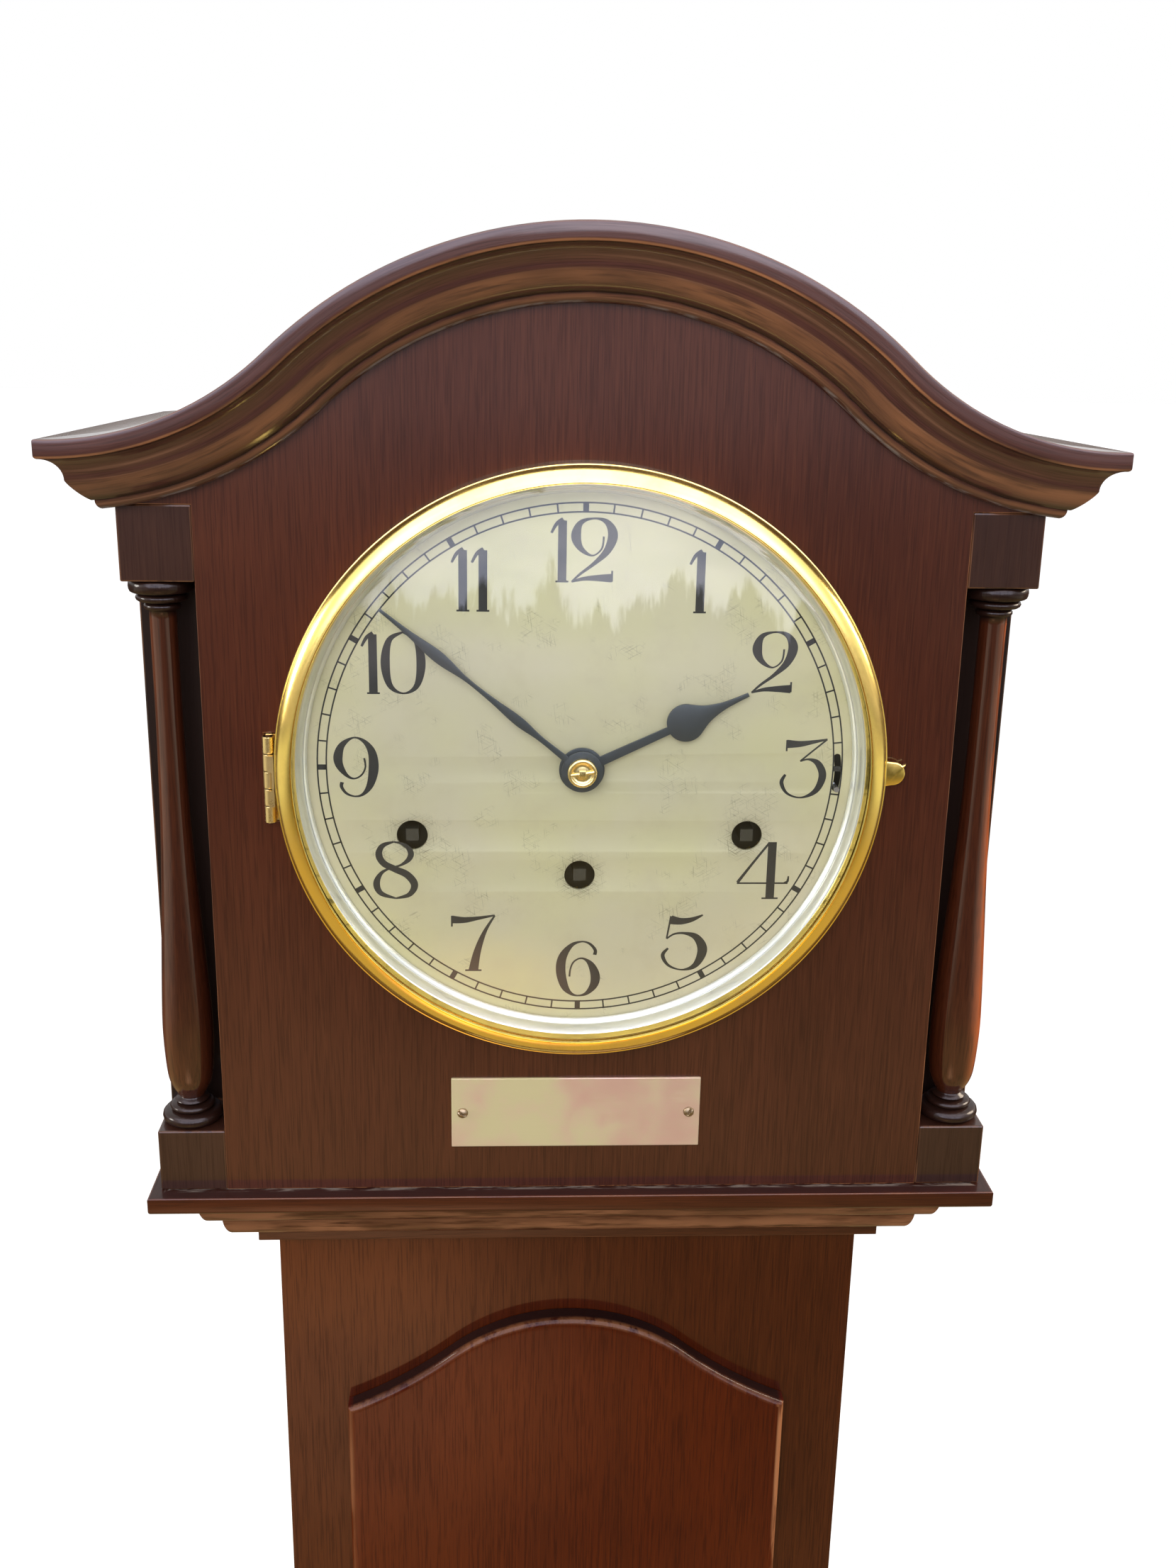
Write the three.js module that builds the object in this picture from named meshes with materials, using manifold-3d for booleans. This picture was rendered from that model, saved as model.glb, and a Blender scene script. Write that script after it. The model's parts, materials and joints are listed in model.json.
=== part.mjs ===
// Grandmother clock: a mahogany longcase clock with an arched hood, a hinged bezel, a three-train
// movement with its motion work, and a pendulum behind a lipped trunk door.
// Millimetres, +Z up, the dial faces -Y. The origin is on the floor under the middle of the case.

import * as THREE from 'three';
import { mergeVertices } from 'three/addons/utils/BufferGeometryUtils.js';
import Module from 'manifold-3d';

const wasm = await Module();
wasm.setup();

// Fits
const gap = 0.3;
const doorPlay = 1;
const hingePlay = 0.4;

// Heights of the case, from the floor up
const plinthHeight = 290;
const trunkHeight = 840;
const dialAboveLedge = 167;

// Widths and depths of the case
const hoodHalfWidth = 160;
const hoodDepth = 173;
const plinthStep = 25;
const boardThickness = 12;
const backThickness = 8;
const trunkFrontThickness = 14;

// Hood corners and columns
const cornerRebate = 25.5;
const bottomBlockHeight = 24.5;
const topBlockHeight = 22;
const neckRadius = 5.1;
const bellyRadius = 8.4;
const capitalHeight = 14;
const baseRingHeight = 12;
const columnInset = 1;

// Ogee arch of the cornice: radii and heights of its lower edge, above the dial's centre
const hoodArch = { crownRadius: 130, footRadius: 131, crown: 160.5, foot: 91 };
const corniceOverhang = 20;
const corniceHeight = 24.5;
const corniceFascia = 6.3;
const roofThickness = 5;

// Base moulding below the hood
const baseOverhang = 43;
const frontLedge = 10;
const sideLedge = 4;
const baseHeight = 42.5;
const baseFascia = 7;

// Plinth
const plinthMouldingHeight = 34;
const plinthMouldingLip = 3;
const skirtingHeight = 60;
const skirtingThickness = 9;

// Trunk door: the arch of its lip, from the top of the trunk down
const doorHalfWidth = 94;
const doorCrownRadius = 79.6;
const doorFootRadius = 181;
const doorCrownDrop = 38.6;
const doorArchRise = 57.5;
const doorBottomRail = 62;
const doorLip = 8;
const doorOverlap = 6;
const doorRounding = 2.8;
const doorTongueDepth = 10;

// Dial and its holes
const dialRecess = 3;
const dialThickness = 1.5;
const dialPlay = 0.7;
const windingHoleRadius = 5.65;
const windingSideX = 61.4;
const windingSideDrop = 25.8;
const windingCentreDrop = 41.3;
const slotRadius = 1.3;
const dialFootRadius = 3;
const dialFootX = 70;
const dialFootZ = 45;
const dialFootInset = 6;

// Bezel
const bezelRadius = 109;
const bezelWall = 4.3;
const bezelRim = 2.65;
const bezelCover = 6;
const bezelLip = 1.7;
const bezelLipReach = 2.2;
const glassThickness = 2;
const glassClearance = 1.7;
const sightWidth = 6.2;
const sightWall = 1;

// Bezel hinge and catch
const knuckleRadius = 2.1;
const hingePinRadius = 0.9;
const hingeLength = 32;
const hingeDrop = 3;
const leafThickness = 0.8;
const leafWidth = 7.5;
const catchReach = 8;
const catchWidth = 9.4;
const catchThickness = 1.8;

// Door hinges and knob
const doorKnuckleRadius = 2.3;
const doorPinRadius = 1;
const doorHingeLength = 44;
const doorHingeInset = 125;
const doorLeafThickness = 1.2;
const doorLeafWidth = 12;
const knobInset = 15;
const knobRadius = 9;
const knobLength = 14;
const knobShaftRadius = 3;
const tongueLength = 25;
const tongueWidth = 8;
const tongueThickness = 2.5;

// Hands
const minuteTipClearance = 6.5;
const minuteBoss = 7.5;
const minuteThickness = 0.8;
const minuteAngle = 309.2;
const hourLength = 65.5;
const hourBoss = 8.2;
const hourThickness = 1;
const hourAngle = 64.6;
const hourBulb = 7;
const hourBulbAt = 41;
const hourStandoff = 2;
const handSpacing = 2.2;
const colletRadius = 5.3;
const colletHeight = 2;

// Motion work: tooth counts, modules and face width
const cannonLeaves = 12;
const minuteTeeth = 36;
const minuteLeaves = 12;
const hourTeeth = 48;
const cannonModule = 0.75;
const faceWidth = 2.5;
const wheelClearance = 1.5;
const cannonPipeRadius = 2.6;
const hourPipeWall = 1;
const arborRadius = 1.5;
const centreArborRadius = 2;

// Movement
const plateStandoff = 14.5;
const plateThickness = 2.5;
const plateSpacing = 60;
const plateHalfWidth = 92;
const plateAboveAnchor = 14;
const plateBottom = 72;
const pillarRadius = 4;
const pillarInset = 8;
const barrelRadius = 26;
const barrelLength = 34;
const windingArborRadius = 3.5;
const windingSquare = 4.6;
const ratchetRadius = 11;
const ratchetRoot = 9.4;
const ratchetTeeth = 16;
const ratchetThickness = 2;
const seatThickness = 16;

// Escapement and pendulum
const escapeRadius = 20;
const escapeTeeth = 30;
const escapeThickness = 2;
const escapeInset = 12;
const anchorHeight = 62;
const palletThickness = 4;
const palletHalf = 0.64;
const palletLift = 0.64;
const pendulumBehindPlate = 15;
const pendulumLength = 622;
const rodRadius = 2.5;
const bobRadius = 48;
const bobThickness = 26;
const nutRadius = 8;
const nutHeight = 6;
const springWidth = 10;
const springThickness = 0.6;
const springLength = 18;
const cockHeight = 7.5;
const cockHalfWidth = 8;
const slitHalfWidth = 1.2;
const crutchLength = 61;
const crutchThickness = 2;

// Chime
const hammerCount = 4;
const hammerPitch = 12;
const hammerInset = 8;
const hammerArborDrop = 54;
const hammerArborBack = 20;
const hammerArborRadius = 1.6;
const hammerThickness = 5;
const hammerHeadDrop = 66;
const hammerHeadRadius = 4.5;
const hammerHeadLength = 14;
const hammerWireRadius = 1.2;
const gongRodRadius = 2.5;
const gongRodLength = 320;
const gongRodStep = 18;
const gongBlockHeight = 28;
const gongBlockDepth = 26;

// Chime lever
const leverArm = 28;
const leverSlotInset = 4.8;
const leverSlotMiddle = -1.5;
const leverSwing = 24;
const leverThickness = 1.5;
const leverTipRadius = 1;
const leverTipReach = 2.5;
const leverStudRadius = 2;

// Plaque
const plaqueWidth = 95.5;
const plaqueHeight = 29;
const plaqueRise = 1.5;
const plaqueThickness = 1.2;

// Places that follow from the dimensions
const trunkHalfWidth = hoodHalfWidth + sideLedge - baseOverhang;
const trunkSetback = baseOverhang - frontLedge;
const backY = (hoodDepth + corniceOverhang) / 2;
const hoodFrontY = backY - hoodDepth;
const trunkFrontY = hoodFrontY + trunkSetback;
const innerBackY = backY - backThickness;
const ledgeZ = plinthHeight + trunkHeight;
const dialZ = ledgeZ + dialAboveLedge;
const frontBoardHalf = hoodHalfWidth - cornerRebate;
const plateY = dialRecess + dialThickness + plateStandoff;
const plinthHalfWidth = trunkHalfWidth + plinthStep;
const hoodDepthInside = innerBackY - hoodFrontY;
const trunkDepthInside = innerBackY - trunkFrontY;
const bezelSeatRadius = bezelRadius - bezelWall;
const bezelLipRadius = bezelSeatRadius - bezelLipReach;
const dialOpening = bezelRadius - bezelCover;
const dialRadius = dialOpening - dialPlay;
const sightRadius = bezelSeatRadius - sightWidth;
const minuteLength = sightRadius - minuteTipClearance;
const leverSlotX = sightRadius - leverSlotInset;
const hourHandY = dialRecess - hourStandoff - hourThickness;
const minuteHandY = hourHandY - handSpacing - minuteThickness;
const colletFront = minuteHandY - gap - colletHeight;
const plateTop = anchorHeight + plateAboveAnchor;
const hammerLastX = plateHalfWidth - hammerInset - hammerPitch / 2;
const hammerFirstX = hammerLastX - (hammerCount - 1) * hammerPitch;

// Facets round the dial, its glass and its bezel
const bezelSegments = 48;

// Solids: every piece is a closed manifold made from a three.js geometry

function solid(geometry) {
  const bare = geometry.index ? geometry.toNonIndexed() : geometry.clone();
  bare.deleteAttribute('normal');
  bare.deleteAttribute('uv');
  const merged = mergeVertices(bare, 1e-4);
  const index = merged.index.array;
  const triangles = [];
  for (let i = 0; i < index.length; i += 3) {
    const [a, b, c] = [index[i], index[i + 1], index[i + 2]];
    if (a !== b && b !== c && c !== a) triangles.push(a, b, c);
  }
  const vertices = merged.attributes.position.array;
  if (signedVolume(vertices, triangles) < 0) triangles.reverse();
  return new wasm.Manifold(new wasm.Mesh({
    numProp: 3,
    vertProperties: new Float32Array(vertices),
    triVerts: new Uint32Array(triangles),
  }));
}

function signedVolume(vertices, triangles) {
  const [a, b, c] = [new THREE.Vector3(), new THREE.Vector3(), new THREE.Vector3()];
  let sum = 0;
  for (let i = 0; i < triangles.length; i += 3) {
    a.fromArray(vertices, triangles[i] * 3);
    b.fromArray(vertices, triangles[i + 1] * 3);
    c.fromArray(vertices, triangles[i + 2] * 3);
    sum += a.dot(b.cross(c));
  }
  return sum / 6;
}

function join(...pieces) {
  return pieces.reduce((whole, piece) => whole.add(piece));
}

function cut(whole, ...tools) {
  return tools.reduce((rest, tool) => rest.subtract(tool), whole);
}

// A box between two corners
function box(x0, x1, y0, y1, z0, z1) {
  const geometry = new THREE.BoxGeometry(x1 - x0, y1 - y0, z1 - z0);
  return solid(geometry.translate((x0 + x1) / 2, (y0 + y1) / 2, (z0 + z1) / 2));
}

// A board standing in the XZ plane, its outline drawn as seen from the front
function upright(shape, frontY, thickness, curveSegments = 12) {
  const run = { depth: thickness, bevelEnabled: false, curveSegments };
  const geometry = new THREE.ExtrudeGeometry(shape, run);
  return solid(geometry.rotateX(Math.PI / 2).translate(0, frontY + thickness, 0));
}

// A post standing on a plan drawn in XY
function standing(shape, bottomZ, height) {
  const geometry = new THREE.ExtrudeGeometry(shape, { depth: height, bevelEnabled: false });
  return solid(geometry.translate(0, 0, bottomZ));
}

// A turned piece about the Y axis, its profile given as radius and depth
function turnedAlongY(profile, segments, x = 0, z = 0) {
  return solid(new THREE.LatheGeometry(profile, segments).translate(x, 0, z));
}

// A turned piece about a vertical axis, its profile given as radius and height
function turnedUpright(profile, segments, x = 0, y = 0) {
  return solid(new THREE.LatheGeometry(profile, segments).rotateX(Math.PI / 2).translate(x, y, 0));
}

function points(...pairs) {
  return pairs.map(([x, y]) => new THREE.Vector2(x, y));
}

function rodAlongY(radius, y0, y1, x, z, segments = 12) {
  return turnedAlongY(points([0, y0], [radius, y0], [radius, y1], [0, y1]), segments, x, z);
}

function rodUpright(radius, z0, z1, x, y, segments = 12) {
  return turnedUpright(points([0, z0], [radius, z0], [radius, z1], [0, z1]), segments, x, y);
}

function rodAlongX(radius, x0, x1, y, z, segments = 12) {
  const geometry = new THREE.CylinderGeometry(radius, radius, x1 - x0, segments);
  return solid(geometry.rotateZ(Math.PI / 2).translate((x0 + x1) / 2, y, z));
}

function polygon(...pairs) {
  return new THREE.Shape(points(...pairs));
}

function rectangle(halfWidth, z0, z1) {
  return polygon([-halfWidth, z0], [halfWidth, z0], [halfWidth, z1], [-halfWidth, z1]);
}

function disc(radius, x = 0, z = 0) {
  return new THREE.Shape().absarc(x, z, radius, 0, 2 * Math.PI, false);
}

function circleHole(radius, x = 0, z = 0) {
  return new THREE.Path().absarc(x, z, radius, 0, 2 * Math.PI, true);
}

// A skin over closed rings of equally many points, with flat ends
function loft(rings, section) {
  const count = section.length;
  const position = rings.flat().flatMap((point) => point.toArray());
  const index = [];
  for (let r = 0; r + 1 < rings.length; r += 1) {
    for (let i = 0; i < count; i += 1) {
      const next = (i + 1) % count;
      const [a, b] = [r * count + i, r * count + next];
      index.push(a, b, b + count, a, b + count, a + count);
    }
  }
  const last = (rings.length - 1) * count;
  for (const [a, b, c] of THREE.ShapeUtils.triangulateShape(section, [])) {
    index.push(c, b, a, last + a, last + b, last + c);
  }
  const geometry = new THREE.BufferGeometry();
  geometry.setAttribute('position', new THREE.Float32BufferAttribute(position, 3));
  geometry.setIndex(index);
  return solid(geometry);
}

// An ogee from left to right: a crown arc between two foot arcs that bend the other way.
// The offset gives a parallel curve above or below it, and the curve ends at the half width.
const crownSteps = 14;
const footSteps = 5;

function ogee(arch, offset, halfWidth) {
  const crownCentre = arch.crown - arch.crownRadius;
  const footCentre = arch.foot + arch.footRadius;
  const reach = arch.crownRadius + arch.footRadius;
  const footX = Math.sqrt(reach ** 2 - (footCentre - crownCentre) ** 2);
  const lean = Math.asin(footX / reach);
  const crownRadius = arch.crownRadius + offset;
  const footRadius = arch.footRadius - offset;
  const end = Math.asin((footX - halfWidth) / footRadius);
  const right = [];
  for (let i = 0; i <= crownSteps / 2; i += 1) {
    const angle = lean * i / (crownSteps / 2);
    const [across, up] = [crownRadius * Math.sin(angle), crownRadius * Math.cos(angle)];
    right.push(new THREE.Vector2(across, crownCentre + up));
  }
  for (let i = 1; i <= footSteps; i += 1) {
    const angle = lean + (end - lean) * i / footSteps;
    const [across, up] = [footRadius * Math.sin(angle), footRadius * Math.cos(angle)];
    right.push(new THREE.Vector2(footX - across, footCentre - up));
  }
  const left = right.slice(1).reverse().map((p) => new THREE.Vector2(-p.x, p.y));
  return [...left, ...right];
}

function ogeeEnd(arch, offset, halfWidth) {
  return ogee(arch, offset, halfWidth).at(-1).y;
}

// Mouldings: a section of overhang and height, run along the front and mitred into two returns

function straightFront(section, halfWidth, frontY, bottomZ) {
  const ring = (side) => section.map(({ x, y }) => {
    return new THREE.Vector3(side * (halfWidth + x), frontY - x, bottomZ + y);
  });
  return loft([ring(-1), ring(1)], section);
}

function straightReturn(section, side, halfWidth, frontY, endY, bottomZ) {
  const ring = (front) => section.map(({ x, y }) => {
    return new THREE.Vector3(side * (halfWidth + x), front ? frontY - x : endY, bottomZ + y);
  });
  return loft([ring(true), ring(false)], section);
}

const curveDivisions = 2;

function corniceSection() {
  const bead = 3.4;
  const beadReach = 5.2;
  const quirk = 0.7;
  const fillet = beadReach + quirk;
  const lip = corniceOverhang - quirk;
  const middle = (bead + corniceHeight - corniceFascia) / 2;
  const waist = (beadReach + corniceOverhang) / 2;
  const [quarter, half] = [Math.PI / 2, Math.PI];
  const path = new THREE.Path();
  path.moveTo(0, 0);
  path.lineTo(beadReach / 2, 0);
  path.absellipse(beadReach / 2, bead, beadReach / 2, bead, -quarter, 0, false);
  path.lineTo(fillet, bead);
  path.absellipse(fillet, middle, waist - fillet, middle - bead, -quarter, 0, false);
  path.absellipse(lip, middle, lip - waist, middle - bead, half, quarter, true);
  path.lineTo(corniceOverhang, corniceHeight - corniceFascia);
  path.lineTo(corniceOverhang, corniceHeight);
  path.lineTo(0, corniceHeight);
  return distinct(path.getPoints(curveDivisions));
}

function baseSection() {
  const firstReach = 0.65 * baseOverhang;
  const secondReach = 0.455 * baseOverhang;
  const filletReach = 0.17 * baseOverhang;
  const firstFoot = 0.482 * baseHeight;
  const secondFoot = 0.224 * baseHeight;
  const ovolo = 4.5;
  const lowerArris = 1.5;
  const upperArris = 1;
  const soffit = baseHeight - baseFascia;
  const quarter = Math.PI / 2;
  const path = new THREE.Path();
  path.moveTo(0, 0);
  path.lineTo(filletReach, 0);
  path.lineTo(filletReach, secondFoot);
  path.lineTo(secondReach - ovolo, secondFoot);
  path.absellipse(secondReach - ovolo, firstFoot, ovolo, firstFoot - secondFoot, -quarter, 0, false);
  path.lineTo(firstReach - ovolo, firstFoot);
  path.absellipse(firstReach - ovolo, soffit, ovolo, soffit - firstFoot, -quarter, 0, false);
  path.lineTo(baseOverhang - lowerArris, soffit);
  path.lineTo(baseOverhang, soffit + lowerArris);
  path.lineTo(baseOverhang, baseHeight - upperArris);
  path.lineTo(baseOverhang - upperArris, baseHeight);
  path.lineTo(0, baseHeight);
  return distinct(path.getPoints(curveDivisions));
}

function plinthSection() {
  const reach = plinthStep + plinthMouldingLip;
  const fillet = 5;
  const cove = reach - 2 * fillet;
  const coveHeight = plinthMouldingHeight - 2 * fillet;
  const path = new THREE.Path();
  path.moveTo(0, 0);
  path.lineTo(reach, 0);
  path.lineTo(reach, fillet);
  path.lineTo(fillet + cove, fillet);
  path.absellipse(fillet + cove, fillet + coveHeight, cove, coveHeight, -Math.PI / 2, -Math.PI, true);
  path.lineTo(fillet, plinthMouldingHeight);
  path.lineTo(0, plinthMouldingHeight);
  return distinct(path.getPoints(curveDivisions));
}

function skirtingSection() {
  const shoulder = 12;
  const [flat, round] = [skirtingThickness / 3, skirtingThickness * 2 / 3];
  const path = new THREE.Path();
  path.moveTo(0, 0);
  path.lineTo(skirtingThickness, 0);
  path.lineTo(skirtingThickness, skirtingHeight - shoulder);
  path.absellipse(flat, skirtingHeight - shoulder, round, shoulder, 0, Math.PI / 2, false);
  path.lineTo(0, skirtingHeight);
  return distinct(path.getPoints(curveDivisions));
}

function distinct(list) {
  return list.filter((p, i) => p.distanceTo(list[(i + list.length - 1) % list.length]) > 1e-3);
}

// Toothed wheels about the Y axis: each tooth's corners are given by radius and share of the pitch

function toothedShape(teeth, phase, corners) {
  const outline = [];
  for (let t = 0; t < teeth; t += 1) {
    for (const [radius, share] of corners) {
      const angle = (t + phase + share) * 2 * Math.PI / teeth;
      outline.push(new THREE.Vector2(radius * Math.cos(angle), radius * Math.sin(angle)));
    }
  }
  return new THREE.Shape(outline);
}

// Straight-flanked gear teeth, thinned for running play
function gearShape(teeth, module, phase) {
  const pitchRadius = module * teeth / 2;
  const tip = pitchRadius + 0.85 * module;
  const root = pitchRadius - 1.25 * module;
  return toothedShape(teeth, phase, [[root, -0.33], [tip, -0.1], [tip, 0.1], [root, 0.33]]);
}

// Colours

function wood(color, roughness = 0.35) {
  return new THREE.MeshStandardMaterial({ color, roughness, metalness: 0 });
}

function metal(color, roughness = 0.3) {
  return new THREE.MeshStandardMaterial({ color, roughness, metalness: 1 });
}

const mahogany = 0x4a1d10;
const darkMahogany = 0x2c120c;
const brass = 0xc99a3f;
const silvered = 0xc9bfa8;
const steel = 0x8d9096;
const bluedSteel = 0x1b1a1c;
const pine = 0x9a7a54;

function piece(group, name, shape, material) {
  const { vertProperties, triVerts } = shape.getMesh();
  const geometry = new THREE.BufferGeometry();
  geometry.setAttribute('position', new THREE.Float32BufferAttribute(vertProperties, 3));
  geometry.setIndex(Array.from(triVerts));
  geometry.computeVertexNormals();
  const mesh = new THREE.Mesh(geometry, material);
  mesh.name = name;
  group.add(mesh);
}

const sides = [['left', -1], ['right', 1]];

// Hood, drawn about the dial's centre line with Y = 0 on the face of the front board

const hood = new THREE.Group();
hood.position.set(0, hoodFrontY, dialZ);

function frontBoard() {
  const underRoof = ogee(hoodArch, corniceHeight - roofThickness, hoodHalfWidth);
  const shape = new THREE.Shape([
    ...points([-frontBoardHalf, -dialAboveLedge], [frontBoardHalf, -dialAboveLedge]),
    ...points([frontBoardHalf, hoodArch.foot], [hoodHalfWidth, hoodArch.foot]),
    ...underRoof.reverse(),
    ...points([-hoodHalfWidth, hoodArch.foot], [-frontBoardHalf, hoodArch.foot]),
  ]);
  shape.holes.push(circleHole(dialOpening));
  const board = upright(shape, 0, boardThickness, 24);
  const [near, far] = [hingeX - knuckleRadius, hingeX + leafWidth + gap];
  return cut(board, box(near, far, -boardThickness, leafThickness + gap, ...hingeSpan(gap)));
}

function hoodSide(side) {
  const plan = polygon(
    [side * hoodHalfWidth, cornerRebate],
    [side * hoodHalfWidth, hoodDepthInside],
    [side * (hoodHalfWidth - boardThickness), hoodDepthInside],
    [side * (hoodHalfWidth - boardThickness), cornerRebate + boardThickness],
    [side * (frontBoardHalf - boardThickness), cornerRebate + boardThickness],
    [side * (frontBoardHalf - boardThickness), boardThickness],
    [side * frontBoardHalf, boardThickness],
    [side * frontBoardHalf, cornerRebate],
  );
  const top = ogeeEnd(hoodArch, corniceHeight - roofThickness, hoodHalfWidth) - gap;
  const panel = standing(plan, -dialAboveLedge, dialAboveLedge + top);
  const [left, right] = side < 0 ? [-hoodHalfWidth, -frontBoardHalf] : [frontBoardHalf, hoodHalfWidth];
  const block = (z0, z1) => box(left, right, 0, cornerRebate, z0, z1);
  const lower = block(-dialAboveLedge, bottomBlockHeight - dialAboveLedge);
  const upper = block(hoodArch.foot - topBlockHeight, hoodArch.foot);
  return join(panel, lower, upper);
}

// The column swells from its neck to a belly low down, between a ringed base and a ringed capital
function column(side) {
  const bottom = bottomBlockHeight - dialAboveLedge + gap;
  const top = hoodArch.foot - topBlockHeight - gap;
  const shaftBottom = bottom + baseRingHeight;
  const shaftTop = top - capitalHeight;
  const swell = (share) => neckRadius + share * (bellyRadius - neckRadius);
  const up = (share) => shaftBottom + share * (shaftTop - shaftBottom);
  const shaft = new THREE.SplineCurve(points(
    [swell(0.27), up(0)],
    [swell(0.85), up(0.055)],
    [swell(1), up(0.18)],
    [swell(0.65), up(0.58)],
    [swell(0), up(1)],
  ));
  const ring = (share) => neckRadius + share * (cornerRebate / 2 - columnInset - neckRadius);
  const profile = points(
    [0, bottom],
    [ring(0.7), bottom],
    [ring(0.85), bottom + 0.2 * baseRingHeight],
    [ring(0.7), bottom + 0.42 * baseRingHeight],
    [ring(0.35), bottom + 0.5 * baseRingHeight],
    [ring(0.55), bottom + 0.66 * baseRingHeight],
    [ring(0.3), bottom + 0.82 * baseRingHeight],
  ).concat(shaft.getPoints(7), points(
    [ring(0.25), shaftTop + 0.1 * capitalHeight],
    [ring(0.25), shaftTop + 0.22 * capitalHeight],
    [ring(0.1), shaftTop + 0.3 * capitalHeight],
    [ring(0.45), shaftTop + 0.45 * capitalHeight],
    [ring(0.5), shaftTop + 0.6 * capitalHeight],
    [ring(0.85), shaftTop + 0.82 * capitalHeight],
    [ring(1), shaftTop + 0.86 * capitalHeight],
    [ring(1), top],
    [0, top],
  ));
  const middle = hoodHalfWidth - cornerRebate / 2;
  return turnedUpright(profile, 16, side * middle, cornerRebate / 2);
}

function corniceFront(section) {
  const runs = section.map(({ x, y }) => ogee(hoodArch, y, hoodHalfWidth + x));
  const rings = runs[0].map((_, i) => section.map(({ x }, j) => {
    return new THREE.Vector3(runs[j][i].x, -x, runs[j][i].y);
  }));
  return loft(rings, section);
}

function corniceReturn(section, side) {
  const meeting = section.map(({ x, y }) => {
    return new THREE.Vector2(x, ogeeEnd(hoodArch, y, hoodHalfWidth + x));
  });
  return straightReturn(meeting, side, hoodHalfWidth, 0, hoodDepth, 0);
}

function hoodRoof() {
  const over = ogee(hoodArch, corniceHeight, hoodHalfWidth);
  const under = ogee(hoodArch, corniceHeight - roofThickness, hoodHalfWidth).reverse();
  return upright(new THREE.Shape([...over, ...under]), 0, hoodDepthInside);
}

const cornice = corniceSection();
const hingeX = -(bezelRadius + knuckleRadius + gap);
const hingeY = -knuckleRadius - gap;

function hingeSpan(play) {
  return [-hingeDrop - hingeLength / 2 - play, -hingeDrop + hingeLength / 2 + play];
}

piece(hood, 'front_board', frontBoard(), wood(mahogany));
piece(hood, 'hood_roof', hoodRoof(), wood(darkMahogany, 0.5));
piece(hood, 'cornice_front', corniceFront(cornice), wood(mahogany));
for (const [name, side] of sides) {
  piece(hood, `hood_side_${name}`, hoodSide(side), wood(mahogany));
  piece(hood, `column_${name}`, column(side), wood(mahogany, 0.2));
  piece(hood, `cornice_${name}`, corniceReturn(cornice, side), wood(mahogany));
}

// The plaque lies about midway between the bezel and the foot of the board
function plaque() {
  const middle = plaqueRise - (bezelRadius + dialAboveLedge) / 2;
  const shape = rectangle(plaqueWidth / 2, middle - plaqueHeight / 2, middle + plaqueHeight / 2);
  return upright(shape, -plaqueThickness, plaqueThickness);
}

piece(hood, 'plaque', plaque(), metal(brass));

// Dial, with feet that reach the movement's front plate

const windings = [
  ['left', -windingSideX, -windingSideDrop],
  ['centre', 0, -windingCentreDrop],
  ['right', windingSideX, -windingSideDrop],
];
const hourPipeRadius = cannonPipeRadius + gap + hourPipeWall;
const leverPivotX = leverSlotX - leverArm;

function leverSlot() {
  const half = THREE.MathUtils.degToRad(leverSwing / 2);
  const inner = leverArm - slotRadius;
  const outer = leverArm + slotRadius;
  const spare = slotRadius / leverArm;
  const slot = new THREE.Shape();
  slot.absarc(leverPivotX, leverSlotMiddle, outer, -half - spare, half + spare, false);
  slot.absarc(leverPivotX, leverSlotMiddle, inner, half + spare, -half - spare, true);
  slot.closePath();
  return slot;
}

function dialPlate() {
  const [front, back] = [dialRecess - 1, dialRecess + dialThickness + 1];
  const blank = rodAlongY(dialRadius, dialRecess, dialRecess + dialThickness, 0, 0, bezelSegments);
  const pipeHole = rodAlongY(hourPipeRadius + gap, front, back, 0, 0, 16);
  const windingHoles = windings.map(([, x, z]) => rodAlongY(windingHoleRadius, front, back, x, z, 14));
  const plate = cut(blank, pipeHole, ...windingHoles, upright(leverSlot(), front, back - front, 6));
  const places = [[-dialFootX, dialFootZ], [dialFootX, dialFootZ], [0, dialFootInset - plateBottom]];
  const feet = places.map(([x, z]) => {
    return rodAlongY(dialFootRadius, dialRecess + dialThickness / 2, plateY, x, z, 8);
  });
  return join(plate, ...feet);
}

piece(hood, 'dial_plate', dialPlate(), metal(silvered, 0.45));

// Bezel door: brass rim, glass, silvered sight ring, finger catch and hinge

const bezelBack = -gap;
const glassFront = colletFront - glassClearance - glassThickness;
const bezelFront = glassFront - gap - bezelLip;
const sightFront = glassFront + glassThickness + gap;

function bezel() {
  const crown = bezelRadius - bezelRim;
  const shoulder = bezelFront + bezelRim;
  const lipBack = bezelFront + bezelLip;
  const lipFront = shoulder - bezelRim * Math.SQRT1_2;
  const profile = new THREE.Path();
  profile.moveTo(bezelSeatRadius, bezelBack);
  profile.lineTo(bezelRadius, bezelBack);
  profile.lineTo(bezelRadius, shoulder);
  profile.absellipse(crown, shoulder, bezelRim, bezelRim, 0, -0.75 * Math.PI, true);
  profile.lineTo(bezelLipRadius, lipFront);
  profile.lineTo(bezelLipRadius, lipBack);
  profile.lineTo(bezelSeatRadius, lipBack);
  profile.lineTo(bezelSeatRadius, bezelBack);
  return turnedAlongY(profile.getPoints(3), bezelSegments);
}

function bezelGlass() {
  const rim = bezelSeatRadius - gap;
  const back = glassFront + glassThickness;
  return turnedAlongY(points([0, glassFront], [rim, glassFront], [rim, back], [0, back]), bezelSegments);
}

function sightRing() {
  const rim = bezelSeatRadius - gap;
  const foot = dialRecess - gap;
  const profile = points(
    [rim, sightFront],
    [sightRadius, foot - sightWall],
    [sightRadius, foot],
    [sightRadius + sightWall, foot],
    [rim, sightFront + 1.5 * sightWall],
    [rim, sightFront],
  );
  return turnedAlongY(profile, bezelSegments);
}

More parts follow.
